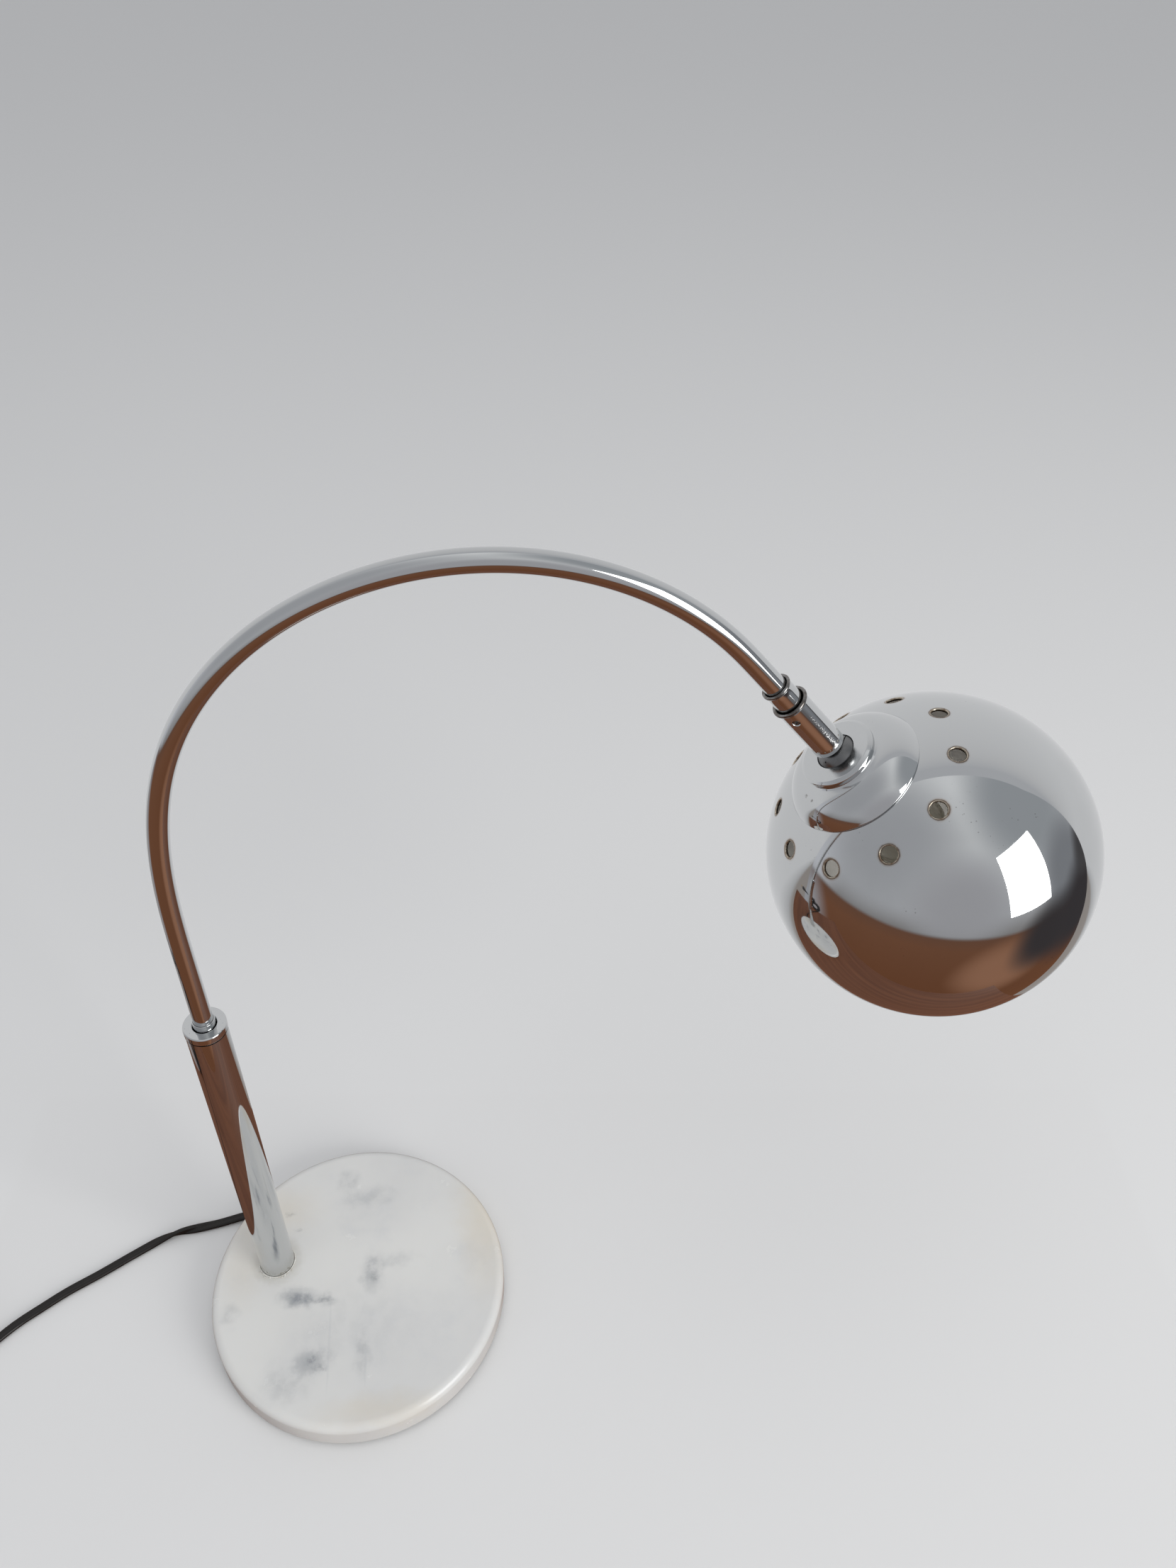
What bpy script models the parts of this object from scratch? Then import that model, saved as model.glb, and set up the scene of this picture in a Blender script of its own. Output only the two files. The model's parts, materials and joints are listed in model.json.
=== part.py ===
"""Arc table lamp: marble disc base, chrome stem, turning arc arm, ball-jointed sphere shade, twin flex.

Metres, +Z up. The origin is the centre of the base's underside, and +X runs along the arm towards the
shade. The arm is swung a little off the base's own centre line, so the stem stands at -X, +Y.
"""

from math import asin, cos, pi, radians, sin

import bmesh
import bpy
from mathutils import Matrix, Vector

MM = 0.001
GAP = 0.3 * MM  # between pieces that touch

# Base
BASE_RADIUS = 90 * MM
BASE_TOP = 20 * MM
BASE_EDGE = 5 * MM
FELT_RADIUS = 86 * MM
FELT_THICK = 1.5 * MM
POCKET_RADIUS = 24 * MM
POCKET_TOP = 14 * MM
SLOT_WIDTH = 8.6 * MM
SLOT_TOP = 7.6 * MM

# Stem
STEM_OFFSET = 54 * MM  # from the middle of the base
ARM_SWING = radians(17.5)  # the arm's turn away from the line through stem and base centre
STEM_X = -STEM_OFFSET * cos(ARM_SWING)
STEM_Y = STEM_OFFSET * sin(ARM_SWING)
STEM_RADIUS = 10.5 * MM
STEM_BORE = 9.7 * MM
STEM_TOP = 256.3 * MM
CAP_TOP = 261.1 * MM
CAP_RADIUS = 10.75 * MM
CAP_UNDER = 256.9 * MM

# Arm: a straight start, a bend that tightens slowly, a round bend, and a straight end
TUBE_RADIUS = 5 * MM
TUBE_BORE = 4 * MM
TUBE_FOOT = 188 * MM
ARM_STRAIGHT = 45.6 * MM
ARM_EASE_IN = 141 * MM
ARM_BEND_RADIUS = 140 * MM
ARM_EASE_OUT = 18 * MM
ARM_END_STRAIGHT = 15 * MM
ARM_TURN = radians(139.5)  # whole bend, from straight up to 49.5 degrees below level

# Stations along the end of the arm, from the point where it enters its first sleeve
SMALL_SLEEVE = (-4 * MM, 8.6 * MM)
LARGE_SLEEVE = (6.5 * MM, 39.2 * MM)
TUBE_IN_SLEEVE = 8.2 * MM
BALL_STATION = 50 * MM
GRUB_STATION = 13.4 * MM

# Ball joint and shade, along the shade's axis from the ball's centre
BALL_RADIUS = 10 * MM
NECK_RADIUS = 4.4 * MM
STUD_RADIUS = 6.2 * MM
CORD_HOLE = 3.2 * MM
CAP_PLATE = -5.5 * MM
CAP_PLATE_RADIUS = 16.4 * MM
CAP_STEP = -1.0 * MM
CAP_STEP_RADIUS = 17.8 * MM
CAP_RIM = 10.3 * MM
CAP_RIM_RADIUS = 31.3 * MM
SHEET = 1.0 * MM
SHADE_RADIUS = 77 * MM
SHADE_SHEET = 0.6 * MM
SHADE_CENTRE = 82 * MM
SHADE_TOP_HOLE = 13.2 * MM
SHADE_MOUTH = radians(50)  # half angle of the opening, seen from the middle of the sphere
VENTS = 10
VENT_ANGLE = radians(35.5)
VENT_RADIUS = 3.6 * MM
VENT_PHASE = radians(-14.8)
HOLDER_TOP = 27.4 * MM
BULB_RADIUS = 22.5 * MM
BULB_CENTRE = 103.5 * MM

# Lead
FLEX_WIDTH = 5.6 * MM
FLEX_HEIGHT = 2.9 * MM  # its middle, above the table
INNER_FLEX = 2.5 * MM  # radius of the lead inside the lamp
EXIT = Vector((-78.0, 58.7)) * MM
EXIT_HEADING = radians(184)
RELIEF_LENGTH = 21 * MM
LEAD_ROUTE = (
    (-78.3, 58.6), (-94.5, 56.1), (-110.2, 53.1), (-122.2, 51.0), (-133.4, 47.0), (-147.7, 39.2), (-166.4, 28.3),
    (-183.8, 18.9), (-198.0, 9.7), (-211.1, 0.6), (-224.5, -11.2), (-237.9, -22.5),
)
COIL_X = -279.8 * MM
COIL_Y = -4.2 * MM
COIL_MIDDLE = 31 * MM
COIL_WIDTH = 23.4 * MM
COIL_HEIGHT = 6.6 * MM
COIL_LOW = 1.2 * MM
TAIL_BEND = 40 * MM  # the lead's bend from the coil round to the switch
SWITCH_X = -338 * MM
SWITCH_FROM = 2 * MM
SWITCH_LENGTH = 58 * MM
SWITCH_WIDTH = 24 * MM
SWITCH_HEIGHT = 15 * MM
SWITCH_SPLIT = 7.5 * MM
ROCKER_AXLE = 11.4 * MM
ROCKER_TIP = radians(7)
PLUG_BOOT_FROM = 78 * MM
PLUG_LENGTH = 36 * MM


def clear_scene():
    for obj in list(bpy.data.objects):
        bpy.data.objects.remove(obj)


def material(name, colour, metallic, roughness):
    made = bpy.data.materials.new(name)
    made.use_nodes = True
    shader = made.node_tree.nodes["Principled BSDF"]
    shader.inputs["Base Color"].default_value = (*colour, 1)
    shader.inputs["Metallic"].default_value = metallic
    shader.inputs["Roughness"].default_value = roughness
    made.diffuse_color = (*colour, 1)
    return made


def make_materials():
    return {
        "chrome": material("chrome", (0.78, 0.78, 0.79), 1.0, 0.06),
        "dull_steel": material("dull_steel", (0.42, 0.42, 0.42), 1.0, 0.3),
        "steel": material("steel", (0.5, 0.5, 0.5), 1.0, 0.35),
        "brass": material("brass", (0.72, 0.55, 0.28), 1.0, 0.3),
        "marble": material("marble", (0.86, 0.86, 0.84), 0.0, 0.3),
        "felt": material("felt", (0.05, 0.09, 0.06), 0.0, 0.95),
        "nylon": material("nylon", (0.8, 0.78, 0.72), 0.0, 0.45),
        "flex": material("flex", (0.035, 0.028, 0.024), 0.0, 0.4),
        "black_plastic": material("black_plastic", (0.03, 0.03, 0.03), 0.0, 0.4),
        "ivory_plastic": material("ivory_plastic", (0.72, 0.68, 0.58), 0.0, 0.4),
        "ceramic": material("ceramic", (0.85, 0.84, 0.8), 0.0, 0.3),
        "frosted_glass": material("frosted_glass", (0.93, 0.93, 0.9), 0.0, 0.35),
    }


# ---------------------------------------------------------------- mesh helpers


def finish(name, bm, mat, parent=None, place=None):
    """Turns a bmesh into a smooth-shaded object with its material, under its parent."""
    bmesh.ops.recalc_face_normals(bm, faces=bm.faces)
    mesh = bpy.data.meshes.new(name)
    bm.to_mesh(mesh)
    bm.free()
    mesh.materials.append(mat)
    mesh.shade_smooth()
    mesh.set_sharp_from_angle(angle=radians(35))
    obj = bpy.data.objects.new(name, mesh)
    bpy.context.scene.collection.objects.link(obj)
    obj.parent = parent
    if place is not None:
        obj.matrix_local = place
    return obj


def turned(name, profile, mat, parent=None, place=None, sides=32):
    """Spins a closed outline of (radius, height) points about Z."""
    bm = bmesh.new()
    points = [bm.verts.new((r, 0, z)) for r, z in profile]
    edges = [bm.edges.new((a, b)) for a, b in zip(points, points[1:] + points[:1])]
    bmesh.ops.spin(
        bm, geom=points + edges, cent=(0, 0, 0), axis=(0, 0, 1), angle=2 * pi, steps=sides, use_merge=True
    )
    bmesh.ops.remove_doubles(bm, verts=bm.verts, dist=1e-6)
    return finish(name, bm, mat, parent, place)


def scaled(outline):
    """An outline given in millimetres, in metres."""
    return [(r * MM, z * MM) for r, z in outline]


def raised(outline, height):
    return [(r, z + height) for r, z in outline]


def asin_deg(value):
    return asin(value) * 180 / pi


def degrees_of(angle):
    return angle * 180 / pi


def ring_profile(inner, outer, low, high):
    return [(inner, low), (outer, low), (outer, high), (inner, high)]


def arc(cx, cy, radius, start, end, steps):
    """Points of an arc in the outline plane, angles in degrees."""
    angles = [radians(start + (end - start) * i / steps) for i in range(steps + 1)]
    return [(cx + radius * cos(a), cy + radius * sin(a)) for a in angles]


def pipe(name, stations, outer, inner, mat, parent=None, sides=16):
    """A hollow tube in the XZ plane through stations of (x, z, heading), heading 0 being straight up."""
    bm = bmesh.new()
    loops = []
    for x, z, heading in stations:
        side = Vector((cos(heading), 0, -sin(heading)))
        pair = []
        for radius in (outer, inner):
            around = [2 * pi * i / sides for i in range(sides)]
            pair.append(
                [bm.verts.new(Vector((x, 0, z)) + radius * (side * cos(a) + Vector((0, sin(a), 0)))) for a in around]
            )
        loops.append(pair)
    for low, high in zip(loops, loops[1:]):
        for wall in (0, 1):
            for i in range(sides):
                j = (i + 1) % sides
                bm.faces.new((low[wall][i], low[wall][j], high[wall][j], high[wall][i]))
    for pair in (loops[0], loops[-1]):
        for i in range(sides):
            j = (i + 1) % sides
            bm.faces.new((pair[0][i], pair[0][j], pair[1][j], pair[1][i]))
    return finish(name, bm, mat, parent)


def hex_nut(name, flats, hole, low, high, mat, parent=None, place=None, sides=24):
    """A hexagonal ring with a round hole."""
    bm = bmesh.new()
    loops = {}
    for z in (low, high):
        around = [2 * pi * i / sides for i in range(sides)]
        reach = [flats / 2 / cos((a % (pi / 3)) - pi / 6) for a in around]
        loops[z] = (
            [bm.verts.new((r * cos(a), r * sin(a), z)) for r, a in zip(reach, around)],
            [bm.verts.new((hole * cos(a), hole * sin(a), z)) for a in around],
        )
    for i in range(sides):
        j = (i + 1) % sides
        for wall in (0, 1):
            bm.faces.new((loops[low][wall][i], loops[low][wall][j], loops[high][wall][j], loops[high][wall][i]))
        for z in (low, high):
            bm.faces.new((loops[z][0][i], loops[z][0][j], loops[z][1][j], loops[z][1][i]))
    return finish(name, bm, mat, parent, place)


def flex_tube(name, points, radius, mat, parent=None, sides=2):
    """A round lead along a smooth curve, as a bevelled curve object with filled ends."""
    curve = bpy.data.curves.new(name, "CURVE")
    curve.dimensions = "3D"
    curve.bevel_depth = radius
    curve.bevel_resolution = sides
    curve.use_fill_caps = True
    curve.resolution_u = 1
    spline = curve.splines.new("POLY")
    spline.points.add(len(points) - 1)
    for point, place in zip(spline.points, points):
        point.co = (*place, 1)
    curve.materials.append(mat)
    obj = bpy.data.objects.new(name, curve)
    bpy.context.scene.collection.objects.link(obj)
    obj.parent = parent
    return obj


def smooth_line(route, gap=9 * MM):
    """Points about this far apart on a smooth curve through a route's own points."""
    points = [Vector(p) for p in route]
    points = [2 * points[0] - points[1]] + points + [2 * points[-1] - points[-2]]
    line = []
    for before, start, end, after in zip(points, points[1:], points[2:], points[3:]):
        steps = max(1, round((end - start).length / gap))
        for i in range(steps):
            t = i / steps
            line.append(
                0.5 * (2 * start + (end - before) * t + (2 * before - 5 * start + 4 * end - after) * t**2)
                + 0.5 * (3 * start - before - 3 * end + after) * t**3
            )
    return line + [points[-2]]


def empty(name, place, parent=None):
    obj = bpy.data.objects.new(name, None)
    obj.empty_display_size = 0.02
    bpy.context.scene.collection.objects.link(obj)
    obj.parent = parent
    obj.matrix_local = place
    return obj


def box_bm(low, high):
    bm = bmesh.new()
    size = [b - a for a, b in zip(low, high)]
    middle = [(a + b) / 2 for a, b in zip(low, high)]
    bmesh.ops.create_cube(bm, size=1, matrix=Matrix.Translation(middle) @ Matrix.Diagonal((*size, 1)))
    return bm


def rounded_box(name, low, high, radius, mat, parent=None, place=None, steps=2):
    obj = finish(name, box_bm(low, high), mat, parent, place)
    bevel = obj.modifiers.new("rounded", "BEVEL")
    bevel.width = radius
    bevel.segments = steps
    return obj


def cutter(name, bm, place=None, parent=None):
    bmesh.ops.recalc_face_normals(bm, faces=bm.faces)
    mesh = bpy.data.meshes.new(name)
    bm.to_mesh(mesh)
    bm.free()
    obj = bpy.data.objects.new(name, mesh)
    bpy.context.scene.collection.objects.link(obj)
    obj.parent = parent
    if place is not None:
        obj.matrix_local = place
    obj.hide_render = True
    obj.display_type = "WIRE"
    return obj


def cut(obj, tool):
    boolean = obj.modifiers.new(tool.name, "BOOLEAN")
    boolean.operation = "DIFFERENCE"
    boolean.solver = "EXACT"
    boolean.object = tool


def rod_bm(radius, low, high, sides=20, place=None):
    bm = bmesh.new()
    bmesh.ops.create_cone(
        bm, cap_ends=True, segments=sides, radius1=radius, radius2=radius, depth=high - low,
        matrix=(place or Matrix()) @ Matrix.Translation((0, 0, (low + high) / 2)),
    )
    return bm


# ---------------------------------------------------------------- geometry of the arm


def arm_curvature(along):
    """Curvature of the arm at a distance from the top of the stem."""
    round_length = ARM_TURN * ARM_BEND_RADIUS - (ARM_EASE_IN + ARM_EASE_OUT) / 2
    into = along - ARM_STRAIGHT
    if into <= 0:
        return 0.0
    if into < ARM_EASE_IN:
        return into / ARM_EASE_IN / ARM_BEND_RADIUS
    if into < ARM_EASE_IN + round_length:
        return 1 / ARM_BEND_RADIUS
    left = ARM_EASE_IN + round_length + ARM_EASE_OUT - into
    return max(left, 0.0) / ARM_EASE_OUT / ARM_BEND_RADIUS


def arm_stations(count=28, fine=40):
    """(x, z, heading) along the arm's centre line, from the top of the stem to the mouth of its sleeve."""
    bend = ARM_TURN * ARM_BEND_RADIUS + (ARM_EASE_IN + ARM_EASE_OUT) / 2
    x, z, heading, along = 0.0, CAP_TOP, 0.0, 0.0
    stations = [(x, z, heading)]
    for length, steps in ((ARM_STRAIGHT, 1), (bend, count), (ARM_END_STRAIGHT, 1)):
        for _ in range(steps):
            for _ in range(fine):
                step = length / steps / fine
                middle = heading + arm_curvature(along + step / 2) * step / 2
                x += sin(middle) * step
                z += cos(middle) * step
                heading += arm_curvature(along + step / 2) * step
                along += step
            stations.append((x, z, heading))
    return stations


ARM_LINE = arm_stations()
ARM_END_X, ARM_END_Z, _ = ARM_LINE[-1]


def along_end(distance):
    """Local x, z at a station past the mouth of the first sleeve."""
    return ARM_END_X + sin(ARM_TURN) * distance, ARM_END_Z + cos(ARM_TURN) * distance


def axis_frame(x, z):
    """A frame in the arm's plane whose Z points along the end of the arm, down towards the shade."""
    return Matrix.Translation((x, 0, z)) @ Matrix.Rotation(ARM_TURN, 4, "Y")


# ---------------------------------------------------------------- base


def make_marble(mats):
    low = FELT_THICK + GAP
    chamfer = 1 * MM
    profile = [(0, low), (BASE_RADIUS - chamfer, low), (BASE_RADIUS, low + chamfer)]
    profile += arc(BASE_RADIUS - BASE_EDGE, BASE_TOP - BASE_EDGE, BASE_EDGE, 0, 90, 6)
    profile += [(0, BASE_TOP)]
    marble = turned("marble_base", profile, mats["marble"], sides=64)
    stem = Matrix.Translation((STEM_X, STEM_Y, 0))
    under = low - 2 * MM
    cut(marble, cutter("pocket_cutter", rod_bm(POCKET_RADIUS, under, POCKET_TOP, 32), stem))
    cut(marble, cutter("nipple_hole_cutter", rod_bm(5.6 * MM, 0, BASE_TOP + MM, 20), stem))
    knee = Vector((-55, 60.3)) * MM
    first = Vector((STEM_X, STEM_Y))
    for name, start, end, over in (
        ("inner_slot_cutter", first, knee, SLOT_WIDTH / 2),
        ("outer_slot_cutter", knee, EXIT, SLOT_WIDTH / 2),
    ):
        run = end - start
        turn = Matrix.Translation((*start, 0)) @ Matrix.Rotation(run.angle_signed(Vector((1, 0))), 4, "Z")
        box = box_bm((0, -SLOT_WIDTH / 2, under), (run.length + over, SLOT_WIDTH / 2, SLOT_TOP))
        cut(marble, cutter(name, box, turn))
    return marble


def make_base(mats):
    disc = [(0, 0), (FELT_RADIUS, 0), (FELT_RADIUS, FELT_THICK), (0, FELT_THICK)]
    felt = turned("base_felt", disc, mats["felt"], sides=48)
    mouth = Matrix.Translation((*EXIT, 0)) @ Matrix.Rotation(EXIT_HEADING, 4, "Z")
    notch = box_bm((-25 * MM, -SLOT_WIDTH / 2, -MM), (0, SLOT_WIDTH / 2, 3 * MM))
    cut(felt, cutter("felt_notch_cutter", notch, mouth))
    make_marble(mats)
    stem = Matrix.Translation((STEM_X, STEM_Y, 0))
    turned("clamp_washer", ring_profile(5.5 * MM, 17 * MM, 11.9 * MM, 13.7 * MM), mats["steel"], place=stem, sides=24)
    hex_nut("clamp_nut", 17 * MM, 5.3 * MM, 7.6 * MM, 11.6 * MM, mats["brass"], place=stem)
    turned("foot_nipple", ring_profile(3.6 * MM, 5 * MM, 7.4 * MM, 35 * MM), mats["brass"], place=stem, sides=20)
    foot = BASE_TOP + GAP
    plug = [(5.3 * MM, foot), (9.4 * MM, foot), (9.4 * MM, foot + 14 * MM), (8 * MM, foot + 16 * MM)]
    plug += [(5.3 * MM, foot + 16 * MM)]
    turned("stem_plug", plug, mats["steel"], place=stem, sides=24)
    tube = [(STEM_BORE, foot), (STEM_RADIUS, foot), (STEM_RADIUS, STEM_TOP - 0.5 * MM)]
    tube += [(STEM_RADIUS - 0.5 * MM, STEM_TOP), (STEM_BORE, STEM_TOP)]
    turned("stem_tube", tube, mats["chrome"], place=stem, sides=36)
    cap = [
        (6.1 * MM, 250 * MM), (9.4 * MM, 250 * MM), (9.4 * MM, CAP_UNDER), (CAP_RADIUS - 0.4 * MM, CAP_UNDER),
        (CAP_RADIUS, CAP_UNDER + 0.4 * MM), (CAP_RADIUS, CAP_TOP - 0.5 * MM), (CAP_RADIUS - 0.5 * MM, CAP_TOP),
        (6.1 * MM, CAP_TOP),
    ]
    turned("stem_cap", cap, mats["chrome"], place=stem, sides=36)
    make_bearings(mats, stem)


def make_bearings(mats, stem):
    """The two bushes that the arm turns in, and the washer that carries it."""
    turned("lower_bush", ring_profile(5.15 * MM, 9.4 * MM, 196 * MM, 210 * MM), mats["nylon"], place=stem, sides=24)
    turned("thrust_washer", ring_profile(5.3 * MM, 9 * MM, 210.3 * MM, 211.8 * MM), mats["nylon"], place=stem, sides=24)
    bush = turned("upper_bush", ring_profile(5.15 * MM, 9.4 * MM, 212.5 * MM, 249.7 * MM), mats["nylon"], place=stem, sides=28)
    clear = rod_bm(8.35 * MM, 206 * MM, 234 * MM, 36)
    cut(bush, cutter("collar_room_cutter", clear, stem))
    # All of the skirt goes but a stop tongue on the side away from the arm.
    skirt = ((-8.25, -12, 12, 12), (-12, -12, -8, -1.2), (-12, 1.2, -8, 12))
    for i, (x0, y0, x1, y1) in enumerate(skirt):
        around = box_bm((x0 * MM, y0 * MM, 206 * MM), (x1 * MM, y1 * MM, 226 * MM))
        cut(bush, cutter(f"skirt_cutter_{i}", around, stem))


def make_stem_flex(mats):
    """The lead inside the base and up the stem, from the relief to just under the arm's foot."""
    height = FELT_THICK + INNER_FLEX + 0.2 * MM
    bend = ((-56.2, 60.1), (-55.2, 59.9), (-54.2, 58.8), (-53.5, 56.8), (-53.0, 53.5), (-52.6, 48.0), (-52.1, 31.0))
    points = [(x * MM, y * MM, height) for x, y in bend]
    bend_radius = 5 * MM
    for i in range(5):
        turn = radians(22.5 * i)
        across, up = bend_radius * (1 - sin(turn)), bend_radius * (1 - cos(turn))
        points.append((STEM_X, STEM_Y + across, height + up))
    points += [(STEM_X, STEM_Y, z * MM) for z in (60, 120, 186.5)]
    flex_tube("stem_flex", points, INNER_FLEX, mats["flex"])


# ---------------------------------------------------------------- arm


def make_arm(mats, pivot):
    foot = (0.0, TUBE_FOOT, 0.0)
    tip_x, tip_z = along_end(TUBE_IN_SLEEVE)
    pipe("arm_tube", [foot] + ARM_LINE + [(tip_x, tip_z, ARM_TURN)], TUBE_RADIUS, TUBE_BORE, mats["chrome"], pivot)
    collar = [(5.3, 252), (5.75, 252), (5.75, 264.3), (5.55, 264.6), (5.3, 264.6)]
    turned("arm_collar", scaled(collar), mats["chrome"], pivot, sides=28)
    stop = turned("stop_collar", ring_profile(5.3 * MM, 8 * MM, 212.1 * MM, 222.1 * MM), mats["steel"], pivot, sides=28)
    sideways = Matrix.Translation((0, 0, 217 * MM)) @ Matrix.Rotation(radians(90), 4, "Y")
    cut(stop, cutter("screw_hole_cutter", rod_bm(1.6 * MM, 4 * MM, 10 * MM, 16), sideways, pivot))
    screw = scaled([(0, 5.4), (1.25, 5.4), (1.25, 8.1), (1.5, 8.1), (1.5, 9.2), (0, 9.2)])
    turned("collar_screw", screw, mats["steel"], pivot, sideways, sides=16)
    make_arm_end(mats, pivot)
    inside = [(0, 0, 188.5 * MM), (0, 0, CAP_TOP)]
    inside += [(x, 0, z) for x, z, _ in ARM_LINE[1::2]]
    inside += [(x, 0, z) for x, z in (along_end(30 * MM), along_end(BALL_STATION + 5 * MM))]
    flex_tube("arm_flex", inside, INNER_FLEX, mats["flex"], pivot)


def make_arm_end(mats, pivot):
    """The two sleeves at the end of the arm and the screw that keeps the swivel stud in."""
    end = empty("arm_end", axis_frame(ARM_END_X, ARM_END_Z), pivot)
    low, high = SMALL_SLEEVE
    lip = arc(5.9 * MM, low + 0.6 * MM, 0.6 * MM, 180, 360, 6)
    small = lip + [(6.5 * MM, low + MM), (6.2 * MM, low + 1.4 * MM), (6.2 * MM, high), (5.3 * MM, high)]
    turned("small_sleeve", small, mats["chrome"], end, sides=24)
    low, high = LARGE_SLEEVE
    lip = arc(7.35 * MM, low + 0.85 * MM, 0.85 * MM, 180, 360, 6)
    large = lip + [(8.2 * MM, low + 1.4 * MM), (7.35 * MM, low + 2.1 * MM), (7.35 * MM, high - 0.4 * MM)]
    large += [(6.95 * MM, high), (6.5 * MM, high)]
    sleeve = turned("large_sleeve", large, mats["chrome"], end, sides=24)
    to_side = Matrix.Translation((0, 0, GRUB_STATION)) @ Matrix.Rotation(radians(20), 4, "Z")
    to_side = to_side @ Matrix.Rotation(radians(90), 4, "X")
    cut(sleeve, cutter("grub_hole_cutter", rod_bm(1.7 * MM, 5 * MM, 9 * MM, 16), to_side, end))
    grub = scaled([(0, 5.3), (1.0, 5.3), (1.4, 5.8), (1.4, 7.2), (0.7, 7.2), (0.7, 6.4), (0, 6.4)])
    turned("grub_screw", grub, mats["steel"], end, to_side, sides=16)


def make_swivel(mats, pivot):
    """The hollow stud that turns in the large sleeve, with the joint's ball on its end."""
    stud = [(CORD_HOLE, -40.8 * MM), (STUD_RADIUS, -40.8 * MM), (STUD_RADIUS, -38.7 * MM), (4.9 * MM, -38.7 * MM)]
    stud += [(4.9 * MM, -34.5 * MM), (STUD_RADIUS, -34.5 * MM), (STUD_RADIUS, -11.6 * MM)]
    stud += [(NECK_RADIUS + 0.4 * MM, -11.2 * MM)]
    neck = -90 + asin_deg(NECK_RADIUS / BALL_RADIUS)
    stud += arc(0, 0, BALL_RADIUS, neck, 90 - asin_deg(CORD_HOLE / BALL_RADIUS), 10)
    turned("swivel_ball", stud, mats["dull_steel"], pivot, sides=24)


# ---------------------------------------------------------------- shade


def cap_dome(thickness, steps=4):
    """The cap's flare from its step to its rim: a shallow outward bow, this far under the outer skin."""
    start, end = Vector((CAP_STEP_RADIUS + 0.3 * MM, CAP_STEP)), Vector((CAP_RIM_RADIUS, CAP_RIM))
    run = end - start
    out = Vector((run.y, -run.x)).normalized()
    bow = 2 * MM
    flare = []
    for i in range(steps + 1):
        u = i / steps
        point = start + run * u + out * (4 * bow * u * (1 - u) - thickness)
        flare.append((point.x, point.y))
    return flare


def make_cap(mats, pivot):
    top, edge = CAP_PLATE, 1.1 * MM
    outer = [(8.75 * MM, top), (CAP_PLATE_RADIUS - 0.2 * MM, top)]
    outer += arc(CAP_PLATE_RADIUS - 0.2 * MM, top + edge, edge, -60, 0, 3)
    outer += [(CAP_PLATE_RADIUS + MM, CAP_STEP - 1.3 * MM), (CAP_STEP_RADIUS - 0.1 * MM, CAP_STEP - 0.4 * MM)]
    inner = [(16.4 * MM, CAP_STEP + 0.4 * MM), (16.2 * MM, top + 2 * MM), (15.6 * MM, top + SHEET)]
    inner += [(9.3 * MM, top + SHEET)]
    profile = outer + cap_dome(0) + cap_dome(SHEET)[::-1] + inner
    turned("shade_cap", profile, mats["chrome"], pivot, sides=36)


def make_joint_parts(mats, pivot):
    housing = scaled([
        (10.6, -4.1), (12.4, -4.1), (12.4, -0.2), (15.3, -0.2), (15.3, 5.8), (12.4, 5.8), (12.4, 27.0),
        (5.4, 27.0), (5.4, 24.6), (10.6, 24.6),
    ])
    turned("joint_housing", housing, mats["steel"], pivot, sides=24)
    cup = 10.35 * MM
    seat = arc(0, 0, cup, 63.6, 29, 6) + scaled([(10.3, 5.1), (10.3, 14.0), (4.6, 14.0)])
    turned("ball_seat", seat, mats["nylon"], pivot, sides=24)
    turns, per_turn, low, high = 3.5, 14, 15.05 * MM, 23.8 * MM
    count = int(turns * per_turn)
    coil = []
    for i in range(count + 1):
        angle = 2 * pi * i / per_turn
        coil.append((7.6 * MM * cos(angle), 7.6 * MM * sin(angle), low + (high - low) * i / count))
    flex_tube("seat_spring", coil, 0.65 * MM, mats["steel"], pivot, sides=1)
    ring = scaled([(12.8, 8.5), (19.0, 8.5), (19.5, 9.2), (19.5, 12.4), (12.8, 12.4)])
    turned("ring_nut", ring, mats["steel"], pivot, sides=24)


def make_shell(mats, pivot):
    inner = SHADE_RADIUS - SHADE_SHEET
    mouth = 90 - degrees_of(SHADE_MOUTH)
    top = -90 + asin_deg(SHADE_TOP_HOLE / SHADE_RADIUS)
    inner_top = -90 + asin_deg(SHADE_TOP_HOLE / inner)
    profile = arc(0, SHADE_CENTRE, SHADE_RADIUS, top, mouth, 14)
    profile += arc(0, SHADE_CENTRE, inner, mouth, inner_top, 14)
    shell = turned("shade_shell", profile, mats["chrome"], pivot, sides=36)
    holes = bmesh.new()
    for i in range(VENTS):
        around = VENT_PHASE + 2 * pi * i / VENTS
        out = Vector((sin(VENT_ANGLE) * cos(around), sin(VENT_ANGLE) * sin(around), -cos(VENT_ANGLE)))
        place = Matrix.Translation((0, 0, SHADE_CENTRE)) @ out.to_track_quat("Z", "Y").to_matrix().to_4x4()
        place = place @ Matrix.Translation((0, 0, SHADE_RADIUS - 0.5 * SHADE_SHEET))
        bmesh.ops.create_cone(
            holes, cap_ends=True, segments=12, radius1=VENT_RADIUS, radius2=VENT_RADIUS, depth=8 * MM, matrix=place
        )
    cut(shell, cutter("vent_cutter", holes, parent=pivot))


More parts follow.
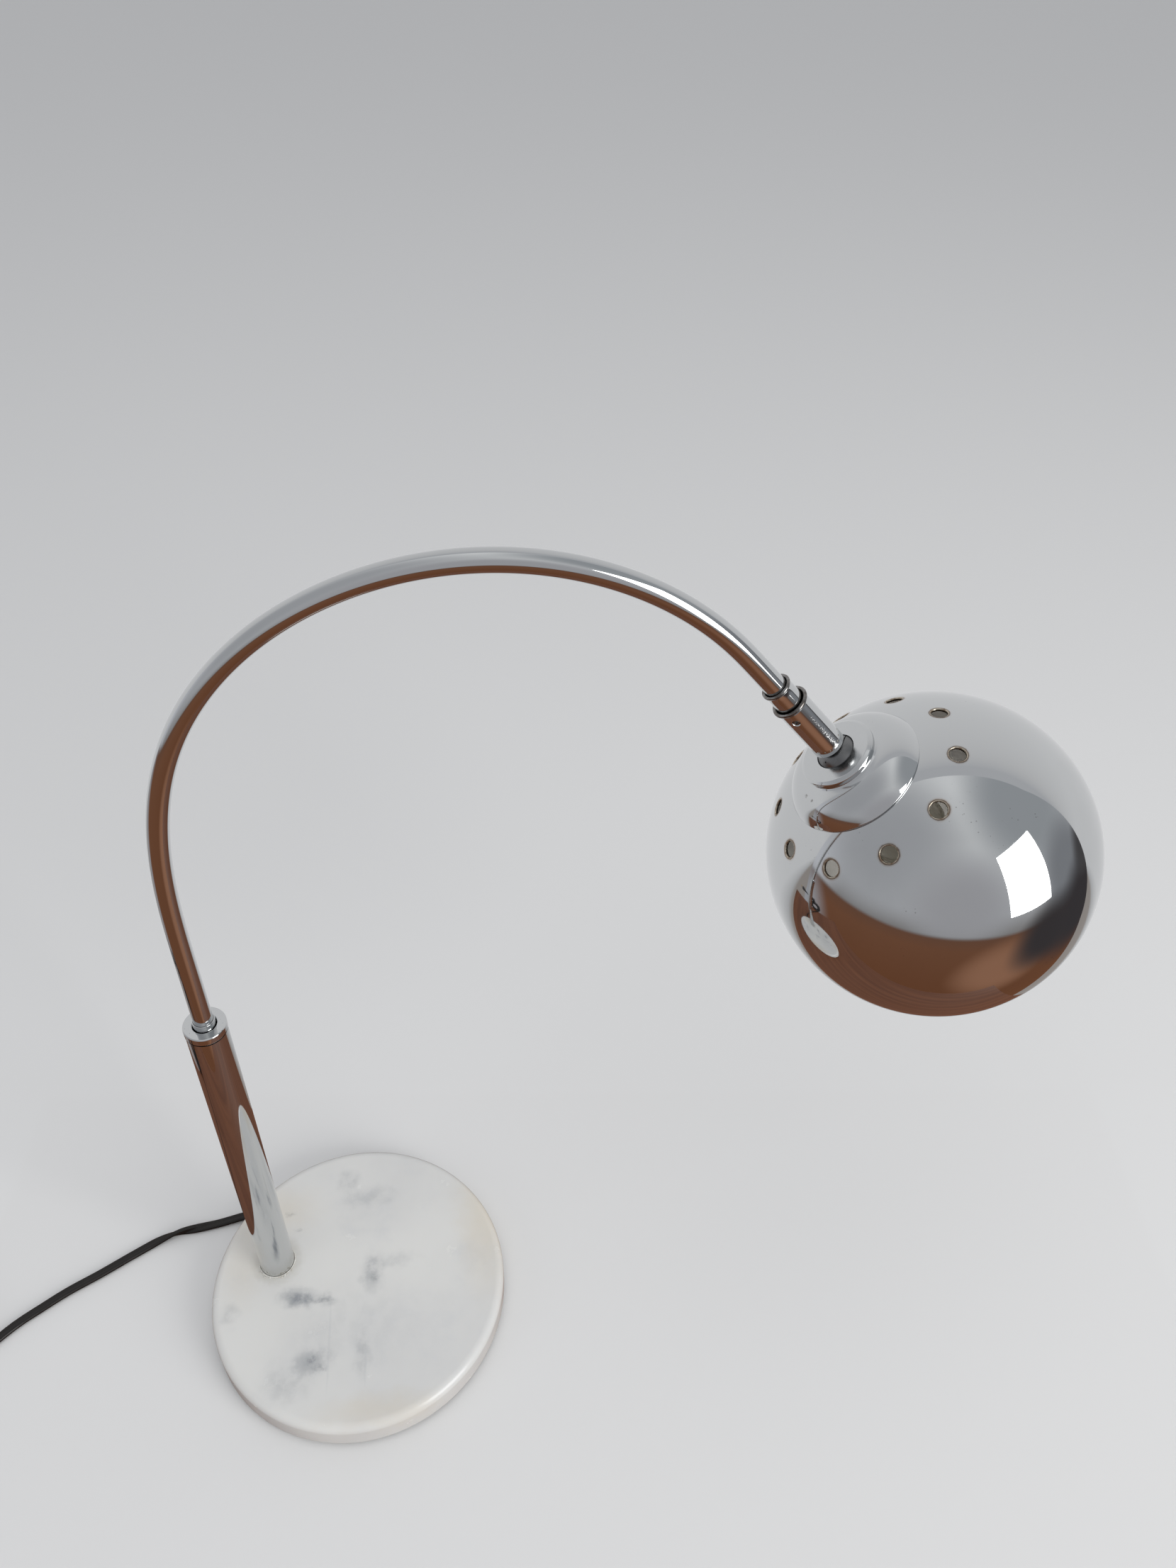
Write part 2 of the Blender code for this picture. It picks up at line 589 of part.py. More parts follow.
def make_holder(mats, pivot):
    top = HOLDER_TOP
    turned("holder_nipple", scaled([(3.6, 21), (5.0, 21), (5.0, 36), (3.6, 36)]), mats["brass"], pivot, sides=20)
    dome = scaled([
        (5.3, 0), (9.0, 0), (13.2, 1.4), (16.0, 4.4), (17.2, 8.4), (17.5, 13.6),
        (15.9, 13.6), (15.6, 9.0), (14.6, 5.6), (12.4, 3.0), (8.8, 1.9), (5.3, 1.9),
    ])
    turned("holder_dome", raised(dome, top), mats["ivory_plastic"], pivot, sides=20)
    body = scaled([
        (15.2, 0), (17.5, 0), (17.5, 18.0), (18.6, 18.6), (18.6, 20.4), (17.5, 21.0), (17.3, 24.6), (15.2, 24.6),
    ])
    turned("holder_body", raised(body, top + 13.9 * MM), mats["ivory_plastic"], pivot, sides=20)
    insert = raised(scaled([(0, 0), (14.8, 0), (14.8, 5.0), (0, 5.0)]), top + 12.6 * MM)
    turned("holder_insert", insert, mats["ceramic"], pivot, sides=24)
    contact = raised(scaled([(0, 0), (3.6, 0), (3.6, 0.8), (2.4, 1.5), (0, 1.7)]), top + 17.9 * MM)
    turned("centre_contact", contact, mats["brass"], pivot, sides=16)
    sleeve = raised(scaled([(13.6, 0), (14.6, 0), (14.6, 18.4), (13.6, 18.4)]), top + 18 * MM)
    turned("thread_sleeve", sleeve, mats["brass"], pivot, sides=28)
    flex_tube("head_leads", [(0, 0, 11.6 * MM), (0, 0, 25 * MM), (0, 0, 39.6 * MM)], 2 * MM, mats["flex"], pivot)


def make_bulb(mats, pivot):
    foot = HOLDER_TOP + 20 * MM
    contact = scaled([(0, 0), (4.6, 0), (8.0, 2.6), (0, 2.6)])
    turned("bulb_contact", raised(contact, foot), mats["brass"], pivot, sides=20)
    outside = [(12.0, 5.0)]
    for i in range(4):
        outside += [(13.1, 6.4 + 3.6 * i), (12.4, 8.2 + 3.6 * i)]
    outside += [(13.0, 22.4), (13.4, 26.0)]
    inside = [(r - 0.6, z) for r, z in outside[::-1]]
    cap = scaled([(0, 2.9), (8.3, 2.9)] + outside + inside + [(8.2, 3.7), (0, 3.7)])
    turned("bulb_cap", raised(cap, foot), mats["steel"], pivot, sides=20)
    neck, wall, low = 12.6 * MM, 0.8 * MM, foot + 26.3 * MM
    start = -90 + asin_deg(neck / BULB_RADIUS)
    inner = BULB_RADIUS - wall
    inner_start = -90 + asin_deg((neck - wall) / inner)
    profile = [(neck - wall, low), (neck, low)] + arc(0, BULB_CENTRE, BULB_RADIUS, start, 90, 10)
    profile += arc(0, BULB_CENTRE, inner, 90, inner_start, 8)
    turned("bulb_glass", profile, mats["frosted_glass"], pivot, sides=20)
    stem = raised(scaled([(0, 0), (8.0, 0), (8.0, 1.5), (3.4, 4.5), (2.2, 14.0), (0, 16.0)]), low)
    turned("bulb_stem", stem, mats["frosted_glass"], pivot, sides=14)
    wire = [(11 * MM * cos(radians(a)), 0, low + 16.5 * MM + 10 * MM * sin(radians(a))) for a in range(0, 181, 15)]
    flex_tube("bulb_filament", wire, 0.35 * MM, mats["steel"], pivot, sides=1)


# ---------------------------------------------------------------- lead, switch and plug


def tapered_bar(name, lengths, halves, centres, radius, mat, place):
    """A bar along local X with a rounded cross-section whose half width and half height change at stations."""
    bm = bmesh.new()
    loops = []
    for x, (half_wide, half_high), z in zip(lengths, halves, centres):
        loop = []
        for corner in range(4):
            for step in range(4):
                angle = radians(90 * corner + 30 * step)
                sign_y = 1 if corner in (0, 3) else -1
                sign_z = 1 if corner in (0, 1) else -1
                y = sign_y * (half_wide - radius) + radius * cos(angle)
                loop.append(bm.verts.new((x, y, z + sign_z * (half_high - radius) + radius * sin(angle))))
        loops.append(loop)
    for low, high in zip(loops, loops[1:]):
        for i in range(len(low)):
            j = (i + 1) % len(low)
            bm.faces.new((low[i], low[j], high[j], high[i]))
    bm.faces.new(loops[0])
    bm.faces.new(loops[-1])
    return finish(name, bm, mat, place=place)


def make_lead(mats):
    inside = EXIT - RELIEF_LENGTH * Vector((cos(EXIT_HEADING), sin(EXIT_HEADING)))
    place = Matrix.Translation((*inside, 0)) @ Matrix.Rotation(EXIT_HEADING, 4, "Z")
    lengths = [0, 9 * MM, RELIEF_LENGTH]
    halves = [(4.0 * MM, 3.2 * MM), (4.0 * MM, 3.2 * MM), (3.4 * MM, 2.95 * MM)]
    heights = [3.4 * MM, 3.4 * MM, 3.0 * MM]
    tapered_bar("cord_relief", lengths, halves, heights, 1.6 * MM, mats["flex"], place)
    route = smooth_line([(x * MM, y * MM) for x, y in LEAD_ROUTE])
    flex_tube("cord_lead", [(x, y, FLEX_HEIGHT) for x, y in route], FLEX_WIDTH / 2, mats["flex"])
    inner, outer = COIL_MIDDLE - COIL_WIDTH / 2, COIL_MIDDLE + COIL_WIDTH / 2
    middle = Matrix.Translation((COIL_X, COIL_Y, COIL_LOW))
    turned("cord_coil", ring_profile(inner, outer, 0, COIL_HEIGHT), mats["flex"], place=middle, sides=40)
    make_tie(mats)
    bend = arc(SWITCH_X + TAIL_BEND, COIL_Y, TAIL_BEND, 262, 180, 8)
    route = bend + [(SWITCH_X, SWITCH_FROM - GAP)]
    flex_tube("cord_tail", [(x, y, FLEX_HEIGHT) for x, y in route], FLEX_WIDTH / 2, mats["flex"])


def make_tie(mats):
    """A band round the coil's bundle, on the side away from the lamp."""
    clear, band = 0.35 * MM, 0.7 * MM
    inner = [(-COIL_WIDTH / 2 - clear, -clear), (COIL_WIDTH / 2 + clear, COIL_HEIGHT + clear)]
    bm = bmesh.new()
    loops = []
    for y in (-2.5 * MM, 2.5 * MM):
        for grow in (band, 0):
            (x0, z0), (x1, z1) = inner
            corners = ((x0 - grow, z0 - grow), (x1 + grow, z0 - grow), (x1 + grow, z1 + grow), (x0 - grow, z1 + grow))
            loops.append([bm.verts.new((x, y, z)) for x, z in corners])
    near_out, near_in, far_out, far_in = loops
    for first, second in ((near_out, near_in), (far_out, far_in), (near_out, far_out), (near_in, far_in)):
        for i in range(4):
            j = (i + 1) % 4
            bm.faces.new((first[i], first[j], second[j], second[i]))
    place = Matrix.Translation((COIL_X, COIL_Y, COIL_LOW)) @ Matrix.Rotation(radians(150), 4, "Z")
    finish("coil_tie", bm, mats["black_plastic"], place=place @ Matrix.Translation((COIL_MIDDLE, 0, 0)))


def make_switch(mats):
    half = SWITCH_WIDTH / 2
    low, high = (SWITCH_X - half, SWITCH_FROM, 0), (SWITCH_X + half, SWITCH_FROM + SWITCH_LENGTH, SWITCH_SPLIT)
    base = rounded_box("switch_base", low, high, 1.5 * MM, mats["black_plastic"])
    lid_low = (low[0], low[1], SWITCH_SPLIT + GAP)
    lid_high = (high[0], high[1], SWITCH_HEIGHT)
    cover = rounded_box("switch_cover", lid_low, lid_high, 1.5 * MM, mats["black_plastic"])
    middle = SWITCH_FROM + SWITCH_LENGTH / 2
    room = box_bm((-4.8 * MM, -8.2 * MM, 0), (4.8 * MM, 8.2 * MM, 20 * MM))
    cut(cover, cutter("rocker_room_cutter", room, Matrix.Translation((SWITCH_X, middle, 0))))
    across = Matrix.Translation((SWITCH_X, middle, ROCKER_AXLE)) @ Matrix.Rotation(radians(90), 4, "Y")
    cut(cover, cutter("axle_hole_cutter", rod_bm(1.2 * MM, -8 * MM, 8 * MM, 14), across))
    axle = scaled([(0, -7.5), (0.9, -7.5), (0.9, 7.5), (0, 7.5)])
    turned("rocker_axle", axle, mats["steel"], place=across, sides=14)
    room = box_bm((-8 * MM, -14 * MM, 2.2 * MM), (8 * MM, 14 * MM, 12 * MM))
    cut(base, cutter("terminal_room_cutter", room, Matrix.Translation((SWITCH_X, middle, 0))))
    for name, side in (("in", -1), ("out", 1)):
        y = middle + side * 9.5 * MM
        low, high = (SWITCH_X - 4 * MM, y - 3 * MM, 2.5 * MM), (SWITCH_X + 4 * MM, y + 3 * MM, 6.8 * MM)
        rounded_box(f"switch_terminal_{name}", low, high, 0.4 * MM, mats["brass"], steps=1)
    for name, side in (("front", -1), ("rear", 1)):
        at = Matrix.Translation((SWITCH_X, middle + side * 20 * MM, 0))
        cut(base, cutter(f"{name}_screw_cutter", rod_bm(1.7 * MM, -MM, 9 * MM, 16), at))
        cut(base, cutter(f"{name}_head_cutter", rod_bm(3 * MM, -MM, 2.4 * MM, 16), at))
        cut(cover, cutter(f"{name}_thread_cutter", rod_bm(1.7 * MM, 6 * MM, 12.6 * MM, 16), at))
        screw = scaled([(0, 0.4), (2.6, 0.4), (2.6, 2.1), (1.4, 2.1), (1.4, 12.2), (0, 12.2)])
        turned(f"switch_screw_{name}", screw, mats["steel"], place=at, sides=16)
    make_rocker(mats, middle)


def make_rocker(mats, middle):
    """A see-saw key on its axle, tipped towards the plug's side at rest."""
    axle = Matrix.Translation((SWITCH_X, middle, ROCKER_AXLE)) @ Matrix.Rotation(-ROCKER_TIP, 4, "X")
    pivot = empty("rocker_pivot", axle)
    side = [(-7.4, 5.6), (0, 4.6), (7.4, 5.6), (7.4, 2.2), (4.4, -1.2), (0, -2.6), (-4.4, -1.2), (-7.4, 2.2)]
    bm = bmesh.new()
    loops = [[bm.verts.new((x * MM, y * MM, z * MM)) for y, z in side] for x in (-4.4, 4.4)]
    for i in range(len(side)):
        j = (i + 1) % len(side)
        bm.faces.new((loops[0][i], loops[0][j], loops[1][j], loops[1][i]))
    for loop in loops:
        bm.faces.new(loop)
    rocker = finish("switch_rocker", bm, mats["black_plastic"], pivot)
    across = Matrix.Rotation(radians(90), 4, "Y")
    cut(rocker, cutter("rocker_bore_cutter", rod_bm(1.15 * MM, -6 * MM, 6 * MM, 16), across, pivot))


def make_plug(mats):
    start = SWITCH_FROM + SWITCH_LENGTH + GAP
    rise = ((0, 2.9), (6, 2.9), (11, 3.3), (PLUG_BOOT_FROM / MM - start / MM - 0.8, 4.2))
    route = [(SWITCH_X, start + y * MM, z * MM) for y, z in rise]
    flex_tube("cord_plug_lead", route, FLEX_WIDTH / 2, mats["flex"])
    place = Matrix.Translation((SWITCH_X, PLUG_BOOT_FROM, 0)) @ Matrix.Rotation(radians(90), 4, "Z")
    halves = [(3.6 * MM, 3.3 * MM), (5.2 * MM, 4.6 * MM)]
    tapered_bar("plug_boot", [0, 20 * MM], halves, [4.4 * MM, 5.6 * MM], 2 * MM, mats["flex"], place)
    begin = 20 * MM + GAP
    lengths = [begin, begin + 8 * MM, begin + 20 * MM, begin + PLUG_LENGTH]
    halves = [(7.5 * MM, 5.0 * MM), (10.5 * MM, 5.5 * MM), (17 * MM, 6.2 * MM), (17.5 * MM, 6.2 * MM)]
    heights = [5.6 * MM, 5.9 * MM, 6.5 * MM, 6.5 * MM]
    body = tapered_bar("plug_body", lengths, halves, heights, 3 * MM, mats["black_plastic"], place)
    face = PLUG_BOOT_FROM + begin + PLUG_LENGTH
    for name, side in (("left", -1), ("right", 1)):
        at = Matrix.Translation((SWITCH_X + side * 9.4 * MM, face, 6.5 * MM)) @ Matrix.Rotation(radians(-90), 4, "X")
        cut(body, cutter(f"{name}_pin_cutter", rod_bm(2.3 * MM, -9 * MM, 2 * MM, 16), at))
        pin = scaled([(0, -8.6), (2.0, -8.6), (2.0, 18.0), (1.2, 19.0), (0, 19.0)])
        turned(f"plug_pin_{name}", pin, mats["brass"], place=at, sides=16)


# ---------------------------------------------------------------- main


def main():
    clear_scene()
    mats = make_materials()
    make_base(mats)
    make_stem_flex(mats)
    arm_pivot = empty("arm_pivot", Matrix.Translation((STEM_X, STEM_Y, 0)))
    make_arm(mats, arm_pivot)
    ball = axis_frame(*along_end(BALL_STATION))
    swivel_pivot = empty("swivel_pivot", ball, arm_pivot)
    make_swivel(mats, swivel_pivot)
    tilt_pivot = empty("tilt_pivot", Matrix(), swivel_pivot)
    make_cap(mats, tilt_pivot)
    make_joint_parts(mats, tilt_pivot)
    make_shell(mats, tilt_pivot)
    make_holder(mats, tilt_pivot)
    make_bulb(mats, tilt_pivot)
    make_lead(mats)
    make_switch(mats)
    make_plug(mats)


main()
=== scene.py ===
"""The looks of an arc table lamp: marble disc, chrome stem and arc, ball joint, vented sphere shade, twin flex."""

import json
import random
from math import asin, atan2, cos, degrees, pi, radians, sin, tan

import bmesh
import bpy
from mathutils import Matrix, Vector, noise


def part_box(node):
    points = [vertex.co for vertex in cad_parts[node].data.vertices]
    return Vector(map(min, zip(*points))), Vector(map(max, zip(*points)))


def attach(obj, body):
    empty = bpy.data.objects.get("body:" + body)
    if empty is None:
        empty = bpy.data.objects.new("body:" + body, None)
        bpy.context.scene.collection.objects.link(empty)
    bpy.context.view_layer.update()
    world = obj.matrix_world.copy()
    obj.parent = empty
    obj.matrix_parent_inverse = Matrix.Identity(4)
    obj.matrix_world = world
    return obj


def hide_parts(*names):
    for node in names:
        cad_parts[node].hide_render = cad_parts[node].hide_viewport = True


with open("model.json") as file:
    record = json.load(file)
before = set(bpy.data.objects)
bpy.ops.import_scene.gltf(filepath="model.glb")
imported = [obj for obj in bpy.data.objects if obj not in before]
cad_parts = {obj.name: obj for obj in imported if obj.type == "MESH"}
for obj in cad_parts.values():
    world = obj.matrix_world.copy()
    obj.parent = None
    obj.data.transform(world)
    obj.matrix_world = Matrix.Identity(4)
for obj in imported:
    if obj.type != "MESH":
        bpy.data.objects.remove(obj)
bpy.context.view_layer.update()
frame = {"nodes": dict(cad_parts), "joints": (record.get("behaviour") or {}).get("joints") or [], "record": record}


MM = 0.001
JOINTS = {joint["name"]: joint for joint in frame["joints"]}


def middle(node):
    low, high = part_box(node)
    return (low + high) / 2


STEM = middle("stem_tube")
BALL = Vector(JOINTS["head_tilt"]["pos_m"])
HEAD_AXIS = Vector(JOINTS["head_turn"]["axis"]).normalized()
HEAD_TURN = atan2(HEAD_AXIS.x, HEAD_AXIS.z)
AT_STEM = Matrix.Translation((STEM.x, STEM.y, 0))
AT_HEAD = Matrix.Translation(BALL) @ Matrix.Rotation(HEAD_TURN, 4, "Y")
BALL_STATION = 50 * MM
AT_ARM_END = AT_HEAD @ Matrix.Translation((0, 0, -BALL_STATION))
# Millimetres, along the head's axis from the ball where it is a place.
SHADE_CENTRE, SHADE_RADIUS, SHADE_SHEET = 82.0, 77.0, 0.6
VENTS, VENT_RADIUS, VENT_POLAR, VENT_START = 10, 4.15, radians(35.5), radians(-14.8)
ARM_OUTER, ARM_BORE = 5.0, 4.0
CAMERA_PLACE, CAMERA_LENS, SENSOR = (0.0871, -0.3652, 0.7392), 27.05, 36


# ---------------------------------------------------------------- camera, floor and light


def make_camera():
    pitch, roll, turn = radians(41.01), radians(1.67), radians(-7.49)
    forward = Vector((0, cos(pitch), -sin(pitch)))
    level, over = Vector((1, 0, 0)), Vector((0, sin(pitch), cos(pitch)))
    right = cos(roll) * level + sin(roll) * over
    up = -sin(roll) * level + cos(roll) * over
    basis = Matrix.Rotation(turn, 3, "Z") @ Matrix((right, up, -forward)).transposed()
    data = bpy.data.cameras.new("camera")
    data.lens = CAMERA_LENS
    data.sensor_width = SENSOR
    data.clip_start = 0.01
    camera = bpy.data.objects.new("camera", data)
    camera.matrix_world = Matrix.Translation(CAMERA_PLACE) @ basis.to_4x4()
    bpy.context.scene.collection.objects.link(camera)
    bpy.context.scene.camera = camera


def plain_material(name, colour, rough):
    made = bpy.data.materials.new(name)
    made.use_nodes = True
    shader = made.node_tree.nodes["Principled BSDF"]
    shader.inputs["Base Color"].default_value = (*colour, 1)
    shader.inputs["Roughness"].default_value = rough
    return made


def plane(name, corners, mat):
    mesh = bpy.data.meshes.new(name)
    mesh.from_pydata(corners, [], [(0, 1, 2, 3)])
    mesh.materials.append(mat)
    obj = bpy.data.objects.new(name, mesh)
    bpy.context.scene.collection.objects.link(obj)
    return obj


def only_in_reflections(obj):
    obj.visible_camera = False
    obj.visible_diffuse = False
    obj.visible_shadow = False
    obj.visible_transmission = False


def wood_material():
    made = plain_material("studio_warm_board", (0.25, 0.082, 0.030), 0.5)
    tree = made.node_tree
    place = tree.nodes.new("ShaderNodeTexCoord")
    stretch = tree.nodes.new("ShaderNodeMapping")
    stretch.inputs["Scale"].default_value = (1.2, 22, 1)
    grain = tree.nodes.new("ShaderNodeTexNoise")
    grain.inputs["Scale"].default_value = 2.2
    grain.inputs["Detail"].default_value = 5
    ramp = tree.nodes.new("ShaderNodeValToRGB")
    ramp.color_ramp.elements[0].position = 0.35
    ramp.color_ramp.elements[0].color = (0.14, 0.045, 0.017, 1)
    ramp.color_ramp.elements[1].position = 0.68
    ramp.color_ramp.elements[1].color = (0.20, 0.069, 0.027, 1)
    tree.links.new(place.outputs["Object"], stretch.inputs["Vector"])
    tree.links.new(stretch.outputs["Vector"], grain.inputs["Vector"])
    tree.links.new(grain.outputs["Fac"], ramp.inputs["Fac"])
    tree.links.new(ramp.outputs["Color"], tree.nodes["Principled BSDF"].inputs["Base Color"])
    return made


def glowing_card():
    """A pale backdrop for reflections that glows as painted light for a lit wall, brightest a hand's breadth above the
    floor and dimmed towards the floor as painted shade.
    """
    made = bpy.data.materials.new("studio_pale_card")
    made.use_nodes = True
    tree = made.node_tree
    tree.nodes.remove(tree.nodes["Principled BSDF"])
    place = tree.nodes.new("ShaderNodeTexCoord")
    split = tree.nodes.new("ShaderNodeSeparateXYZ")
    ramp = tree.nodes.new("ShaderNodeValToRGB")
    shade = tree.nodes.new("ShaderNodeEmission")
    # Painted light: the glow's colour by height, with darker low stops as painted shade near the floor.
    stops = ramp.color_ramp.elements
    stops[0].position, stops[0].color = 0.0, (0.34, 0.31, 0.29, 1)
    stops[1].position, stops[1].color = 1.0, (0.50, 0.51, 0.53, 1)
    for position, level in ((0.05, 0.50), (0.14, 0.68), (0.45, 0.70), (0.75, 0.60)):
        stops.new(position).color = (level, level * 1.005, level * 1.02, 1)
    tree.links.new(place.outputs["Object"], split.inputs["Vector"])
    tree.links.new(split.outputs["Z"], ramp.inputs["Fac"])
    tree.links.new(ramp.outputs["Color"], shade.inputs["Color"])
    tree.links.new(shade.outputs["Emission"], tree.nodes["Material Output"].inputs["Surface"])
    return made


def area_light(name, place, target, size, energy, colour=(1, 1, 1)):
    data = bpy.data.lights.new(name, "AREA")
    data.shape = "RECTANGLE"
    data.size, data.size_y = size
    data.energy = energy
    data.color = colour
    lamp = bpy.data.objects.new(name, data)
    lamp.location = place
    lamp.rotation_euler = (Vector(target) - Vector(place)).to_track_quat("-Z", "Y").to_euler()
    lamp.visible_camera = False
    bpy.context.scene.collection.objects.link(lamp)
    return lamp


def towards(azimuth, elevation):
    """A direction: azimuth 0 is towards -Y, where the camera stands, and 90 towards +X."""
    a, e = radians(azimuth), radians(elevation)
    return Vector((sin(a) * cos(e), -cos(a) * cos(e), sin(e)))


def make_world():
    """Soft light from all round: pale above and behind, greyer in front, dark low on the right, brown below."""
    world = bpy.data.worlds.new("studio")
    bpy.context.scene.world = world
    world.use_nodes = True
    tree = world.node_tree
    where = tree.nodes.new("ShaderNodeTexCoord").outputs["Generated"]
    split = tree.nodes.new("ShaderNodeSeparateXYZ")
    tree.links.new(where, split.inputs["Vector"])

    def ease(value, low, high):
        node = tree.nodes.new("ShaderNodeMapRange")
        node.interpolation_type = "SMOOTHSTEP"
        node.inputs["From Min"].default_value = low
        node.inputs["From Max"].default_value = high
        tree.links.new(value, node.inputs["Value"])
        return node.outputs["Result"]

    height = tree.nodes.new("ShaderNodeMath")
    height.operation = "MULTIPLY_ADD"
    height.inputs[1].default_value = 0.5
    height.inputs[2].default_value = 0.5
    tree.links.new(split.outputs["Z"], height.inputs[0])
    ramp = tree.nodes.new("ShaderNodeValToRGB")
    tree.links.new(height.outputs["Value"], ramp.inputs["Fac"])
    stops = ramp.color_ramp.elements
    stops[0].position, stops[0].color = 0.0, (0.16, 0.064, 0.031, 1)
    stops[1].position, stops[1].color = 1.0, (0.78, 0.79, 0.80, 1)
    for position, colour in (
        (0.29, (0.19, 0.085, 0.047)), (0.358, (0.165, 0.082, 0.052)), (0.378, (0.27, 0.26, 0.26)),
        (0.50, (0.50, 0.51, 0.53)),
        (0.68, (0.60, 0.61, 0.63)), (0.90, (0.66, 0.67, 0.68)),
    ):
        stops.new(position).color = (*colour, 1)
    colour = ramp.outputs["Color"]
    above = ease(split.outputs["Z"], -0.27, -0.22)
    # Each patch: azimuth, elevation, where its fading starts and stops (degrees off its middle), colour, and
    # whether it keeps to directions above the brown part.
    for azimuth, elevation, inner, outer, tone, clipped in (
        (180, 15, 30, 80, (0.66, 0.67, 0.69), True),
        (-118, 0, 18, 46, (0.62, 0.63, 0.67), True),
        (-112, -32, 6, 28, (0.40, 0.41, 0.44), False),
        (-62, 36, 2, 58, (0.42, 0.43, 0.45), True),
        (78, 45, 14, 46, (0.36, 0.38, 0.40), True),
        (76, 2, 8, 26, (0.25, 0.26, 0.28), True),
        (0, 8, 0, 42, (0.42, 0.42, 0.44), True),
        (38, -40, 6, 26, (0.33, 0.165, 0.10), False),
        (60, -24, 6, 24, (0.050, 0.044, 0.046), False),
        (86, -22, 8, 26, (0.050, 0.045, 0.048), False),
        (94, -3, 4, 14, (0.075, 0.072, 0.075), True),
    ):
        turn = tree.nodes.new("ShaderNodeVectorMath")
        turn.operation = "DOT_PRODUCT"
        tree.links.new(where, turn.inputs[0])
        turn.inputs[1].default_value = towards(azimuth, elevation)
        amount = ease(turn.outputs["Value"], cos(radians(outer)), cos(radians(inner)))
        if clipped:
            both = tree.nodes.new("ShaderNodeMath")
            both.operation = "MULTIPLY"
            tree.links.new(amount, both.inputs[0])
            tree.links.new(above, both.inputs[1])
            amount = both.outputs["Value"]
        mix = tree.nodes.new("ShaderNodeMix")
        mix.data_type = "RGBA"
        tree.links.new(amount, mix.inputs["Factor"])
        tree.links.new(colour, mix.inputs[6])
        mix.inputs[7].default_value = (*tone, 1)
        colour = mix.outputs[2]
    tree.links.new(colour, tree.nodes["Background"].inputs["Color"])


def make_studio():
    """A pale floor, and boards, a window light and a graded world that the chrome reflects."""
    bpy.context.scene.view_settings.view_transform = "Standard"
    floor = plane(
        "floor", [(-6, -6, 0), (6, -6, 0), (6, 6, 0), (-6, 6, 0)], plain_material("floor", (0.74, 0.735, 0.73), 0.8)
    )
    floor.location.z = -0.0004
    floor.visible_glossy = False
    along, out = Vector((0.9963, -0.0863, 0)), Vector((-0.0863, -0.9963, 0))
    corner = Vector((-0.230, 0.168, -0.0002))
    corners = [corner, corner + out * 0.33, corner + out * 0.33 + along * 0.765, corner + along * 0.765]
    board = plane("warm_board", corners, wood_material())
    foot = Vector((0.134, 0.147, -0.45))
    left, right, rise = foot - along * 1.5, foot + along * 1.5, Vector((0, 0, 2.1))
    wall = plane("pale_card", [left, right, right + rise, left + rise], glowing_card())
    for card in (board, wall):
        only_in_reflections(card)
    area_light("window", (2.03, -1.77, 1.11), (0.1, 0.0, 0.25), (1.36, 1.95), 47, (1.0, 0.995, 0.98))
    for name, place, size, energy in (
        ("ceiling", (0.2, -0.6, 2.4), (2.6, 2.2), 12), ("left_fill", (-2.0, -1.0, 1.1), (1.2, 1.4), 5)
    ):
        soft = area_light(name, place, (0.1, 0.0, 0.2), size, energy, (0.98, 0.99, 1.0))
        soft.visible_glossy = False
    make_world()


make_camera()
make_studio()


# ---------------------------------------------------------------- procedural materials


